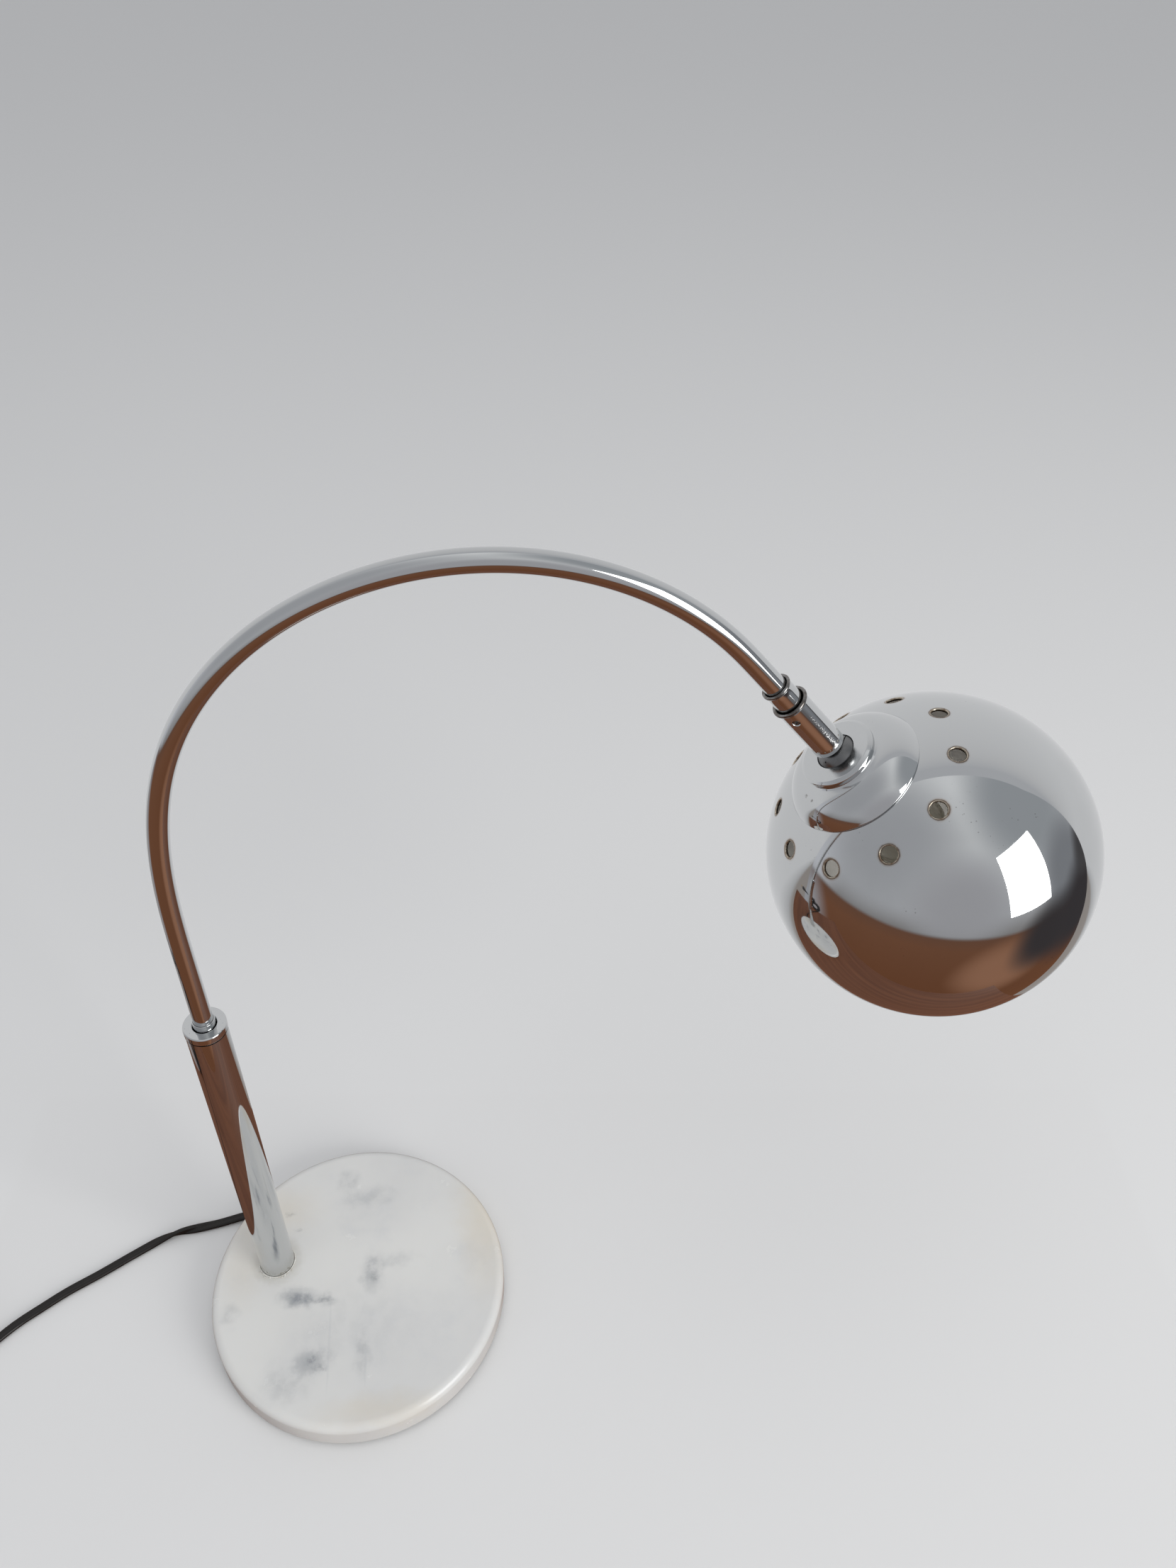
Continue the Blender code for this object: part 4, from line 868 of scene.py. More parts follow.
def rod_bm(radius, low, high, sides=48):
    bm = bmesh.new()
    centre = Matrix.Translation((0, 0, (low + high) / 2))
    bmesh.ops.create_cone(
        bm, cap_ends=True, segments=sides, radius1=radius, radius2=radius, depth=high - low, matrix=centre
    )
    return bm


def smooth_route(points):
    """Points about 2.5 mm apart on a smooth curve through the given ones."""
    points = [Vector(p) for p in points]
    points = [2 * points[0] - points[1]] + points + [2 * points[-1] - points[-2]]
    line = []
    for p0, p1, p2, p3 in zip(points, points[1:], points[2:], points[3:]):
        steps = max(1, round((p2 - p1).length / 0.0025))
        for i in range(steps):
            t = i / steps
            line.append(
                0.5 * (2 * p1 + (p2 - p0) * t + (2 * p0 - 5 * p1 + 4 * p2 - p3) * t**2
                       + (3 * p1 - p0 - 3 * p2 + p3) * t**3)
            )
    return line + [points[-2]]


# ---------------------------------------------------------------- cord

EXIT = Vector((-0.0780, 0.0587, 0.0030))
EXIT_HEADING = radians(184)
COIL = Vector((-0.2798, -0.0042, 0.0))
COIL_LOW = 1.2
CORD_WIDTH, CORD_THICK = 5.6, 2.9
SWITCH_X = -0.338
LEAD_ROUTE = (
    (-78.3, 58.6), (-94.5, 56.1), (-110.2, 53.1), (-122.2, 51.0), (-133.4, 47.0), (-147.7, 39.2), (-166.4, 28.3),
    (-183.8, 18.9), (-198.0, 9.7), (-211.1, 0.6), (-224.5, -11.2), (-237.9, -22.5),
)


def cord_line():
    """The flex's middle line from the relief to the plug, in metres."""
    flat = CORD_THICK / 2 + 0.05
    lead = [(*EXIT.xy, EXIT.z), (-0.0815, 0.0583, 0.0028)]
    lead += [(x * MM, y * MM, flat * MM) for x, y in LEAD_ROUTE[1:]]
    start = COIL.xy + 39.7 * MM * Vector((cos(radians(-53)), sin(radians(-53))))
    lead += [(-0.2475, -0.0296, 0.0021), (*start, (COIL_LOW + CORD_THICK / 2) * MM)]
    line = smooth_route(lead)[:-1]
    rings = ((39.7, 0), (33.9, 0), (28.1, 0), (22.3, 0), (28.1, 1), (33.9, 1), (39.7, 1))
    first, total = -53.0, 2557.0
    low, high = COIL_LOW + CORD_THICK / 2, COIL_LOW + CORD_THICK * 1.5 + 0.15

    def at(turned):
        """(radius, height) in mm after turning this many degrees."""
        lap, within = divmod(turned, 360)
        lap = min(int(lap), 6)
        radius, level = rings[lap]
        if lap < 6:
            next_radius, next_level = rings[lap + 1]
            ease = max(0.0, (within - 285) / 75)
            ease = ease * ease * (3 - 2 * ease)
            lift = max(0.0, (within - 200) / 160) if next_level != level else 0.0
            lift = lift * lift * (3 - 2 * lift)
            radius += (next_radius - radius) * ease
            level += (next_level - level) * lift
        return radius, low + (high - low) * level

    count = int(total / 4)
    for i in range(count + 1):
        turned_by = total * i / count
        radius, height = at(turned_by)
        angle = radians(first - turned_by)
        wave = 0.22 * sin(turned_by * 0.043) + 0.15 * sin(turned_by * 0.0171 + 1.0)
        line.append(
            Vector((COIL.x + (radius + wave) * MM * cos(angle),
                    COIL.y + (radius + wave) * MM * sin(angle), height * MM))
        )
    bend = 40 * MM
    centre = Vector((SWITCH_X + bend, COIL.y))
    for i in range(1, 13):
        line.append(
            Vector((-0.2798 - 0.0182 * i / 12, -0.0439 - 0.0003 * sin(pi * i / 12),
                    (high - (high - flat) * i / 12) * MM))
        )
    for i in range(1, 22):
        a = radians(-90 - 90 * i / 21)
        line.append(Vector((centre.x + bend * cos(a), centre.y + bend * sin(a), flat * MM)))
    for y, z in (
        (0.000, flat), (0.002, 2.0), (0.006, 3.2), (0.031, 3.9), (0.056, 3.2), (0.0603, 2.6), (0.066, 2.4),
        (0.072, 3.3), (0.078, 4.2), (0.081, 4.5)
    ):
        line.append(Vector((SWITCH_X, y, z * MM)))
    for point in line:
        point.z = max(point.z, flat * MM)
    return line


def along(line):
    lengths = [0.0]
    for a, b in zip(line, line[1:]):
        lengths.append(lengths[-1] + (b - a).length)
    return lengths


def twist_at(distance):
    """The flat flex rolls half over once, 25 to 55 mm out."""
    u = min(1.0, max(0.0, (distance - 0.018) / 0.046))
    return pi * u * u * (3 - 2 * u)


def make_cord():
    line = cord_line()
    lengths = along(line)
    lobe, spread = CORD_THICK / 2, (CORD_WIDTH - CORD_THICK) / 2
    section = arc(spread, 0, lobe, -125, 125, 12) + arc(-spread, 0, lobe, 55, 305, 12)
    rings = []
    for i, point in enumerate(line):
        ahead = (line[min(i + 1, len(line) - 1)] - line[max(i - 1, 0)]).normalized()
        side = ahead.cross(Vector((0, 0, 1))).normalized()
        over = side.cross(ahead)
        turn = twist_at(lengths[i])
        lift = (CORD_WIDTH - CORD_THICK) / 2 * abs(sin(turn)) * MM
        u = cos(turn) * side + sin(turn) * over
        v = -sin(turn) * side + cos(turn) * over
        rings.append([(point + Vector((0, 0, lift)) + MM * (x * u + y * v)) / MM for x, y in section])
    middles = [sum((Vector(p) for p in ring), Vector()) / len(ring) * MM for ring in rings]
    cord = finish_mesh(
        "cord", swept(rings), MAT["flex"], "base", sharp=60, slot="flex",
        replaces=("cord_lead", "cord_coil", "cord_tail", "cord_plug_lead")
    )
    return cord, middles, along(middles)[-1]


def make_relief():
    """Ribbed, tapering sleeve where the flex leaves the base."""
    place = Matrix.Translation((EXIT.x, EXIT.y, 0)) @ Matrix.Rotation(EXIT_HEADING, 4, "Z")
    rings = []
    stations = [(-21.0, 0.82), (-20.6, 0.94), (-19.8, 1.0), (-12.0, 1.0)]
    x = -11.6
    while x < -1.4:
        stations += [(x, 1.0), (x + 0.35, 0.86), (x + 1.0, 0.86), (x + 1.35, 1.0)]
        x += 2.2
    stations += [(-0.5, 0.98), (-0.1, 0.90), (0.0, 0.80)]
    for x, size in stations:
        taper = max(0.0, (x + 12) / 12)
        wide, high = (8.0 - 1.2 * taper) * size, (6.4 - 0.5 * taper) * size
        middle_height = 3.4 - 0.4 * taper
        rings.append([(x, y, middle_height + z) for y, z in rounded_rectangle(wide, high, min(wide, high) * 0.34, 5)])
    return finish_mesh(
        "relief", swept(rings), MAT["flex"], "base", place, sharp=40, slot="flex", replaces="cord_relief"
    )


def make_tie():
    """A flat strap round the coil's bundle."""
    place = Matrix.Translation((COIL.x, COIL.y, 0)) @ Matrix.Rotation(
        radians(150), 4, "Z"
    ) @ Matrix.Translation((31 * MM, 0, 0))
    inner = rounded_rectangle(24.1, 7.3, 2.6, 6)
    outer = rounded_rectangle(25.3, 8.5, 3.1, 6)
    bm = bmesh.new()
    loops = []
    for y, shape in ((-2.3, outer), (2.3, outer), (2.3, inner), (-2.3, inner)):
        loops.append([bm.verts.new((x, y, 4.5 + z)) for x, z in shape])
    join_rings(bm, loops, closed=True)
    return finish_mesh(
        "tie", bm, MAT["black_plastic"], "base", place, sharp=40, slot="black_plastic", replaces="coil_tie"
    )


# ---------------------------------------------------------------- switch and plug


def make_switch():
    joint = JOINTS["switch_rocker"]
    axle = Vector(joint["pos_m"])
    at = Matrix.Translation((axle.x, axle.y, 0))
    base_low, base_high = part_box("switch_base")
    cover_low, cover_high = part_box("switch_cover")
    wide, long = (base_high.x - base_low.x) / MM, (base_high.y - base_low.y) / MM

    def waisted(bm):
        """Curves the sides in a little at mid-length and narrows the ends to the flex."""
        for v in bm.verts:
            t = abs(v.co.y) / (long / 2)
            v.co.x *= 1 - 0.05 * cos(t * pi / 2) - 0.30 * max(0.0, t - 0.72) ** 1.3 / 0.28**0.3
        return bm

    lower = soft_block(wide, long, base_low.z / MM, base_high.z / MM, 7.0, 1.6)
    base = finish_mesh(
        "switch_lower", waisted(lower), MAT["black_plastic"], "base", at, slot="black_plastic",
        replaces="switch_base"
    )
    upper = soft_block(wide, long, cover_low.z / MM, cover_high.z / MM, 7.0, 2.4)
    cover = finish_mesh(
        "switch_upper", waisted(upper), MAT["black_plastic"], "base", at, slot="black_plastic",
        replaces="switch_cover"
    )
    room = soft_block(9.6, 16.4, 5, 20, 1.0, 0.2)
    cut(cover, room, at)
    for end in (-1, 1):
        for k in range(4):
            y = end * (long / 2 - 6.0 - 1.9 * k)
            groove = block_bm((-6.5, y - 0.35, cover_high.z / MM - 0.5), (6.5, y + 0.35, cover_high.z / MM + 1))
            cut(cover, groove, at)
    weigh_normals(cover)
    weigh_normals(base)
    tip = Matrix.Translation(axle) @ Matrix.Rotation(radians(-7), 4, "X")
    top = [(-7.4, 5.5, 0.7), (-4.6, 4.5, 6), (0, 4.2, 8), (4.6, 4.5, 6), (7.4, 5.5, 0.7)]
    under = [(7.4, 2.2, 0.6), (4.4, -1.2, 1.5), (0, -2.6, 3), (-4.4, -1.2, 1.5), (-7.4, 2.2, 0.6)]
    side = filleted(top + under, 5)
    rings = []
    for x, inset in ((-4.4, 0.5), (-4.25, 0.2), (-3.9, 0.0), (3.9, 0.0), (4.25, 0.2), (4.4, 0.5)):
        scale_y, scale_z = (7.4 - inset) / 7.4, (5.5 - inset) / 5.5
        rings.append([(x, y * scale_y, z * scale_z) for y, z in side])
    rocker = finish_mesh(
        "rocker_key", swept(rings), MAT["key_plastic"], "rocker", tip, slot="black_plastic",
        replaces="switch_rocker"
    )
    cut(rocker, rod_bm(1.1, -6, 6, 24), tip @ Matrix.Rotation(radians(90), 4, "Y"))
    for k in range(5):
        y = 4.2 + 0.62 * k
        groove = block_bm((-2.6, y - 0.14, 4.2 + 0.25 * k), (2.6, y + 0.14, 8))
        cut(rocker, groove, tip)
    pieces = [base, cover, rocker]
    for name, end in (("front", -1), ("rear", 1)):
        low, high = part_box(f"switch_screw_{name}")
        spot = Matrix.Translation(((low.x + high.x) / 2, (low.y + high.y) / 2, 0))
        head = filleted(
            [(0, 0.45, 0), (2.6, 0.45, 0.35), (2.6, 2.1, 0.1), (1.4, 2.1, 0), (1.4, 12.2, 0.4), (0, 12.2, 0)], 4
        )
        screw = turned(
            f"screw_{name}", head, MAT["steel"], "base", spot, 40, slot="steel", replaces=f"switch_screw_{name}"
        )
        cut(screw, block_bm((-3, -0.35, 0.2), (3, 0.35, 1.2)), spot)
        hole = rod_bm(3.0, -1, 2.4, 40)
        cut(base, hole, spot)
        pieces.append(screw)
    return pieces


def make_plug():
    boot_low, boot_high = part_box("plug_boot")
    x = (boot_low.x + boot_high.x) / 2
    at = Matrix.Translation((x, boot_low.y, 0)) @ Matrix.Rotation(radians(90), 4, "Z")
    rings = []
    length = (boot_high.y - boot_low.y) / MM
    stations = [(0.0, 0.86), (0.25, 0.96), (0.8, 1.0)]
    s = 2.0
    while s < length - 3:
        stations += [(s, 1.0), (s + 0.4, 0.85), (s + 1.2, 0.85), (s + 1.6, 1.0)]
        s += 2.9
    stations += [(length - 0.6, 1.0), (length, 0.98)]
    for s, size in stations:
        t = s / length
        wide, high, height = (7.2 + 3.2 * t) * size, (6.6 + 2.6 * t) * size, 4.4 + 1.2 * t
        rings.append([(s, y, height + z) for y, z in rounded_rectangle(wide, high, high * 0.36, 5)])
    boot = finish_mesh(
        "plug_sleeve", swept(rings), MAT["flex"], "base", at, sharp=40, slot="flex", replaces="plug_boot"
    )
    body_low, body_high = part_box("plug_body")
    start, end = (body_low.y - boot_low.y) / MM, (body_high.y - boot_low.y) / MM
    rings = []
    steps = 46
    for i in range(steps + 1):
        t = i / steps
        s = start + (end - start) * t
        flare = t * t * (3 - 2 * t)
        wide = 14 + (35 - 14) * min(1.0, max(0.0, (t - 0.12) / 0.50)) ** 0.9
        high = 9.6 + 2.6 * flare
        grip = 0.45 * (0.5 - 0.5 * cos(2 * pi * (t - 0.15) * 9)) if 0.15 < t < 0.6 else 0.0
        end_round = 0.9 * (1 - (1 - min(1.0, (1 - t) / 0.03)) ** 2) + 0.1 if t > 0.97 else 1.0
        start_round = 0.85 + 0.15 * min(1.0, t / 0.03)
        across = (wide - 2 * grip) * (0.97 + 0.03 * end_round) * start_round
        up = high * (0.95 + 0.05 * end_round) * start_round
        rings.append([(s, y, 5.9 + 0.6 * flare + z) for y, z in rounded_rectangle(across, up, 3.2, 5)])
    body = finish_mesh(
        "plug_shell", swept(rings), MAT["black_plastic"], "base", at, sharp=40, slot="black_plastic",
        replaces="plug_body"
    )
    pieces = [boot, body]
    for side in ("left", "right"):
        low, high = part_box(f"plug_pin_{side}")
        spot = Matrix.Translation(
            ((low.x + high.x) / 2, body_high.y, (low.z + high.z) / 2)
        ) @ Matrix.Rotation(radians(-90), 4, "X")
        reach = (high.y - body_high.y) / MM
        outline = filleted([(0, -8.4, 0), (1.95, -8.4, 0), (1.95, reach, 1.5), (0, reach, 0)], 6)
        pin = turned(f"pin_{side}", outline, MAT["brass"], "base", spot, 40, slot="brass", replaces=f"plug_pin_{side}")
        cut(body, rod_bm(2.15, -9, 3, 40), spot)
        sleeve = filleted([(1.97, -0.2, 0), (2.0, -0.2, 0), (2.0, 9.6, 0.02), (1.97, 9.6, 0)], 2)
        collar = turned(f"pin_sleeve_{side}", sleeve, MAT["black_plastic"], "base", spot, 40, slot="black_plastic")
        pieces += [pin, collar]
    weigh_normals(body)
    return pieces


cord, cord_middles, cord_length = make_cord()
relief = make_relief()
tie = make_tie()
on_cord = [tie, *make_switch(), *make_plug()]


# ---------------------------------------------------------------- base and stem


def make_base():
    low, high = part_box("marble_base")
    radius, bottom, top = (high.x - low.x) / 2 / MM, low.z / MM, high.z / MM
    outline = [(0, bottom), (40, bottom)] + [
        (radius - 1.2, bottom), (radius - 0.35, bottom + 0.3), (radius, bottom + 1.1)
    ]
    # The upper edge was ground by hand: a quarter round that eases into the flat.
    for i in range(15):
        a = radians(90 * i / 14)
        outline.append((radius - 5.4 * (1 - cos(a) ** 0.92), top - 5.4 * (1 - sin(a) ** 0.92)))
    outline += [(radius - 12, top), (60, top), (30, top), (0, top)]

    disc = finish_mesh(
        "marble_disc", revolved(outline, 192), MAT["marble"], "base", sharp=50, slot="marble",
        replaces="marble_base"
    )
    inside, knee = Vector((STEM.x, STEM.y)), Vector((-0.055, 0.0603))
    cut(disc, rod_bm(24, -1, 14, 64), AT_STEM)
    cut(disc, rod_bm(5.6, 0, 30, 48), AT_STEM)
    for begin, end in ((inside, knee), (knee, EXIT.xy)):
        run = end - begin
        turn = Matrix.Translation((*begin, 0)) @ Matrix.Rotation(atan2(run.y, run.x), 4, "Z")
        cut(disc, block_bm((0, -4.3, -1), (run.length / MM + 4.3, 4.3, 7.6)), turn)
    weigh_normals(disc)
    low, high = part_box("base_felt")
    felt_radius = (high.x - low.x) / 2 / MM
    outline = filleted([(0, 0, 0), (felt_radius, 0, 0.3), (felt_radius, 1.5, 0.3), (0, 1.5, 0)], 3)
    felt = finish_mesh("felt_pad", revolved(outline, 128), MAT["felt"], "base", slot="felt", replaces="base_felt")
    mouth = Matrix.Translation((EXIT.x, EXIT.y, 0)) @ Matrix.Rotation(EXIT_HEADING, 4, "Z")
    cut(felt, block_bm((-25, -4.3, -1), (0, 4.3, 3)), mouth)


def make_filler():
    """A thin uneven bead of old filler round the stem's foot, and crumbs of it in front."""
    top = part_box("marble_base")[1].z / MM
    radius = (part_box("stem_tube")[1].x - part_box("stem_tube")[0].x) / 2 / MM
    sections = []
    for i in range(120):
        a = 2 * pi * i / 120
        wave = noise.noise(Vector((cos(a) * 3.1, sin(a) * 3.1, 0.4)))
        wide = 0.55 + 0.55 * max(0.0, wave + 0.15)
        high = 0.42 + 0.5 * max(0.0, noise.noise(Vector((cos(a) * 5.0, sin(a) * 5.0, 2.0))) + 0.1)
        ring = []
        for k in range(8):
            b = 2 * pi * k / 8
            r = radius + 0.12 + wide * (0.5 + 0.5 * cos(b))
            ring.append((r * cos(a), r * sin(a), top + 0.05 + high * (0.5 + 0.5 * sin(b))))
        sections.append(ring)
    bm = bmesh.new()
    join_rings(bm, [[bm.verts.new(p) for p in ring] for ring in sections], closed=True)
    finish_mesh("filler_bead", bm, MAT["plaster"], "base", AT_STEM, sharp=70, slot="marble")
    rng = random.Random(7)
    crumbs = bmesh.new()
    for i in range(15):
        a = radians(rng.uniform(205, 350))
        r = radius + rng.uniform(0.9, 2.2)
        size = rng.uniform(0.25, 0.62)
        made = bmesh.ops.create_icosphere(crumbs, subdivisions=2, radius=size)
        shift = Vector((r * cos(a), r * sin(a), top + size * 0.55))
        for v in made["verts"]:
            v.co *= 1 + 0.35 * noise.noise(v.co * 2.2 / size + Vector((i, 0, 0)))
            v.co.z *= 0.7
            v.co += shift
    finish_mesh("filler_crumbs", crumbs, MAT["plaster"], "base", AT_STEM, sharp=70, slot="marble")


def make_stem():
    low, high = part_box("stem_tube")
    radius = (high.x - low.x) / 2 / MM
    tube = filleted(
        [(radius - 0.8, low.z / MM, 0), (radius, low.z / MM, 0.3), (radius, high.z / MM, 0.35),
         (radius - 0.8, high.z / MM, 0.2)],
        5
    )
    turned("stem", tube, MAT["stem_chrome"], "base", AT_STEM, 128, slot="chrome", replaces="stem_tube")
    low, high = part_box("stem_cap")
    radius, top = (high.x - low.x) / 2 / MM, high.z / MM
    under = top - 4.2
    cap = filleted(
        [(5.95, low.z / MM, 0), (9.4, low.z / MM, 0.3), (9.4, under - 0.05, 0), (radius, under - 0.05, 0.35),
         (radius, top, 0.75),
         (6.35, top, 0.2), (5.95, top - 0.5, 0.2)], 6)
    turned("stem_collar", cap, MAT["chrome"], "base", AT_STEM, 128, slot="chrome", replaces="stem_cap")


make_base()
make_filler()
make_stem()


# ---------------------------------------------------------------- arm


def arm_line():
    """(x, z, heading) in mm from the top of the stem to the mouth of the arm's sleeve, arm plane through the stem."""
    count, fine = 220, 12
    straight, ease_in, bend, ease_out, last, turn = 45.6, 141.0, 140.0, 18.0, 15.0, HEAD_TURN
    round_length = turn * bend - (ease_in + ease_out) / 2

    def curvature(s):
        into = s - straight
        if into <= 0:
            return 0.0
        if into < ease_in:
            return into / ease_in / bend
        if into < ease_in + round_length:
            return 1 / bend
        return max(ease_in + round_length + ease_out - into, 0.0) / ease_out / bend

    x, z, heading, s = 0.0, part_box("stem_cap")[1].z / MM, 0.0, 0.0
    line = [(x, z, heading)]
    bent = turn * bend + (ease_in + ease_out) / 2
    for length, steps in ((straight, 6), (bent, count), (last, 3)):
        for _ in range(steps):
            for _ in range(fine):
                step = length / steps / fine
                mid = heading + curvature(s + step / 2) * step / 2
                x += sin(mid) * step
                z += cos(mid) * step
                heading += curvature(s + step / 2) * step
                s += step
            line.append((x, z, heading))
    return line


def make_arm():
    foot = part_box("arm_tube")[0].z / MM
    line = arm_line()
    end_x, end_z, end_heading = line[-1]
    tip = (end_x + sin(end_heading) * 8.2, end_z + cos(end_heading) * 8.2, end_heading)
    stations = [(0, foot, 0)] + line + [tip]
    bm = bmesh.new()
    sides = 56
    walls = []
    for radius in (ARM_OUTER, ARM_BORE):
        wall = []
        for x, z, heading in stations:
            across = Vector((cos(heading), 0, -sin(heading)))
            ring = []
            for i in range(sides):
                a = 2 * pi * i / sides
                ring.append(bm.verts.new(Vector((x, 0, z)) + radius * (cos(a) * across + Vector((0, sin(a), 0)))))
            wall.append(ring)
        join_rings(bm, wall)
        walls.append(wall)
    for k in (0, -1):
        join_rings(bm, [wall[k] for wall in walls])
    finish_mesh("arm", bm, MAT["arm_chrome"], "arm", AT_STEM, sharp=40, slot="chrome", replaces="arm_tube")
    low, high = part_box("arm_collar")
    collar = filleted(
        [(5.1, low.z / MM, 0), (5.6, low.z / MM, 0.1), (5.6, high.z / MM, 0.25), (5.1, high.z / MM, 0.1)], 5
    )
    turned("arm_ferrule", collar, MAT["chrome"], "arm", AT_STEM, 72, slot="chrome", replaces="arm_collar")


def rolled_lip(centre, height, radius):
    """A bead rolled outward round the mouth of a sleeve."""
    return arc(centre, height, radius, 170, 395, 14)


def make_sleeves():
    small = [(5.15, 1.2), (5.15, -2.9)] + rolled_lip(5.95, -3.35, 0.72) + [(6.2, -2.2), (6.2, 0), (6.2, 4), (6.2, 8.2)]
    small += [(6.0, 8.6), (5.3, 8.6)]
    turned("sleeve_small", small, MAT["sleeve_chrome"], "arm", AT_ARM_END, 96, slot="chrome", replaces="small_sleeve")
    large = [(6.45, 9.2), (6.45, 7.9)] + rolled_lip(7.35, 7.35, 0.85) + [
        (7.35, 8.9), (7.35, 14), (7.35, 24), (7.35, 34)
    ]
    large += filleted([(7.35, 34, 0), (7.35, 38.7, 0.3), (7.0, 39.2, 0.25), (6.5, 39.2, 0.15), (6.5, 34, 0)], 4)[1:]
    sleeve = turned(
        "sleeve_large", large, MAT["sleeve_chrome"], "arm", AT_ARM_END, 96, slot="chrome", replaces="large_sleeve"
    )
    at_grub = AT_ARM_END @ Matrix.Translation((0, 0, 13.4 * MM)) @ Matrix.Rotation(
        radians(20), 4, "Z"
    ) @ Matrix.Rotation(radians(90), 4, "X")
    hole = revolved([(0, 4.6), (1.55, 4.6), (1.55, 6.95), (2.0, 7.6), (2.0, 9.5), (0, 9.5)], 40)
    cut(sleeve, hole, at_grub)
    grub = filleted(
        [(0, 5.3, 0), (1.0, 5.3, 0.1), (1.4, 5.8, 0.1), (1.4, 7.0, 0.15), (0.75, 7.0, 0.08),
         (0.75, 6.2, 0), (0, 6.2, 0)],
        3
    )
    turned("set_screw", grub, MAT["dark_steel"], "arm", at_grub, 36, slot="steel", replaces="grub_screw")


make_arm()
make_sleeves()


# ---------------------------------------------------------------- ball joint and shade


def make_ball():
    neck = asin(4.4 / 10)
    outline = [
        (3.2, -40.8), (6.2, -40.8), (6.2, -38.7), (4.9, -38.7), (4.9, -34.5), (6.2, -34.5), (6.2, -12.4),
        (6.0, -11.8), (5.2, -11.3), (4.6, -10.9)
    ]
    outline += [(4.42, -10.2)] + arc(0, 0, 10, -90 + degrees(neck) + 1.5, 90 - degrees(asin(3.2 / 10)), 46)
    turned(
        "ball", outline, MAT["dull_steel"], "swivel", AT_HEAD, 96, sharp=35, slot="dull_steel",
        replaces="swivel_ball"
    )


CAP_OUTLINE = (
    (8.75, -5.15, 0.15), (8.95, -5.5, 0.25), (15.75, -5.5, 1.15), (17.35, -4.35, 0.85), (17.3, -2.35, 0.75),
    (16.95, -1.75, 0.7),
    (17.9, -1.15, 0.5),
)


def make_cap():
    outer = filleted(list(CAP_OUTLINE) + [(31.3, 10.3, 0)], 6)[: (6 + 1) * 7]
    start, end = Vector((18.2, -0.95)), Vector((31.3, 10.15))
    run = end - start
    out = Vector((run.y, -run.x)).normalized()

    def dome(under):
        points, steps = [], 26
        for i in range(steps + 1):
            u = i / steps
            point = start + run * u + out * (4 * 2.0 * u * (1 - u) - under)
            points.append((point.x, point.y))
        return points

    rim_out, rim_in = dome(0)[-1], dome(0.9)[-1]
    rim = Vector(((rim_out[0] + rim_in[0]) / 2, (rim_out[1] + rim_in[1]) / 2))
    facing = atan2(rim_out[1] - rim.y, rim_out[0] - rim.x)
    edge = [(rim.x + 0.45 * cos(facing + pi * k / 6), rim.y + 0.45 * sin(facing + pi * k / 6)) for k in range(1, 6)]
    inner = dome(0.9)[::-1] + [(16.5, -0.6), (16.25, -3.4), (15.7, -4.5), (9.3, -4.5), (8.8, -4.8)]
    outline = outer + dome(0)[1:] + edge + inner
    turned("cap", outline, MAT["cap_chrome"], "head", AT_HEAD, 144, sharp=38, slot="chrome", replaces="shade_cap")


def make_shell():
    """The sphere with its vents cut, its normals set to the true sphere."""
    mouth = 40.0
    top = -90 + degrees(asin(13.2 / SHADE_RADIUS))
    inner = SHADE_RADIUS - SHADE_SHEET
    outline = arc(0, SHADE_CENTRE, SHADE_RADIUS, top, mouth - 0.35, 96)
    outline += [
        (c * cos(radians(mouth + d)), SHADE_CENTRE + c * sin(radians(mouth + d))) for c,
        d in ((SHADE_RADIUS - 0.08, -0.12), (SHADE_RADIUS - 0.3, 0.0), (inner + 0.08, -0.12))
    ]
    outline += arc(0, SHADE_CENTRE, inner, mouth - 0.35, -90 + degrees(asin(13.2 / inner)), 64)
    shell = finish_mesh(
        "shell", revolved(outline, 180), [MAT["shell_chrome"], MAT["inside"]], "head", AT_HEAD, sharp=30,
        slot="chrome", replaces="shade_shell"
    )
    tools = bmesh.new()
    for i in range(VENTS):
        depth = Matrix.Translation((0, 0, SHADE_RADIUS - 0.3))
        bmesh.ops.create_cone(
            tools, cap_ends=True, segments=48, radius1=VENT_RADIUS, radius2=VENT_RADIUS, depth=8,
            matrix=vent_place(i) @ depth
        )
    cut(shell, tools, AT_HEAD)
    mesh = shell.data
    centre = AT_HEAD @ Vector((0, 0, SHADE_CENTRE * MM))
    normals = [None] * len(mesh.loops)
    for face in mesh.polygons:
        reach = (face.center - centre).length / MM
        outside, inside = reach > SHADE_RADIUS - 0.12, reach < inner + 0.1
        face.material_index = 0 if outside else 1
        face.use_smooth = True
        for loop in face.loop_indices:
            point = mesh.vertices[mesh.loops[loop].vertex_index].co
            radial = (point - centre).normalized()
            normals[loop] = radial if outside else (-radial if inside else face.normal)
    mesh.normals_split_custom_set(normals)


def vent_place(i):
    around = VENT_START + 2 * pi * i / VENTS
    out = Vector((sin(VENT_POLAR) * cos(around), sin(VENT_POLAR) * sin(around), -cos(VENT_POLAR)))
    return Matrix.Translation((0, 0, SHADE_CENTRE)) @ out.to_track_quat("Z", "Y").to_matrix().to_4x4()


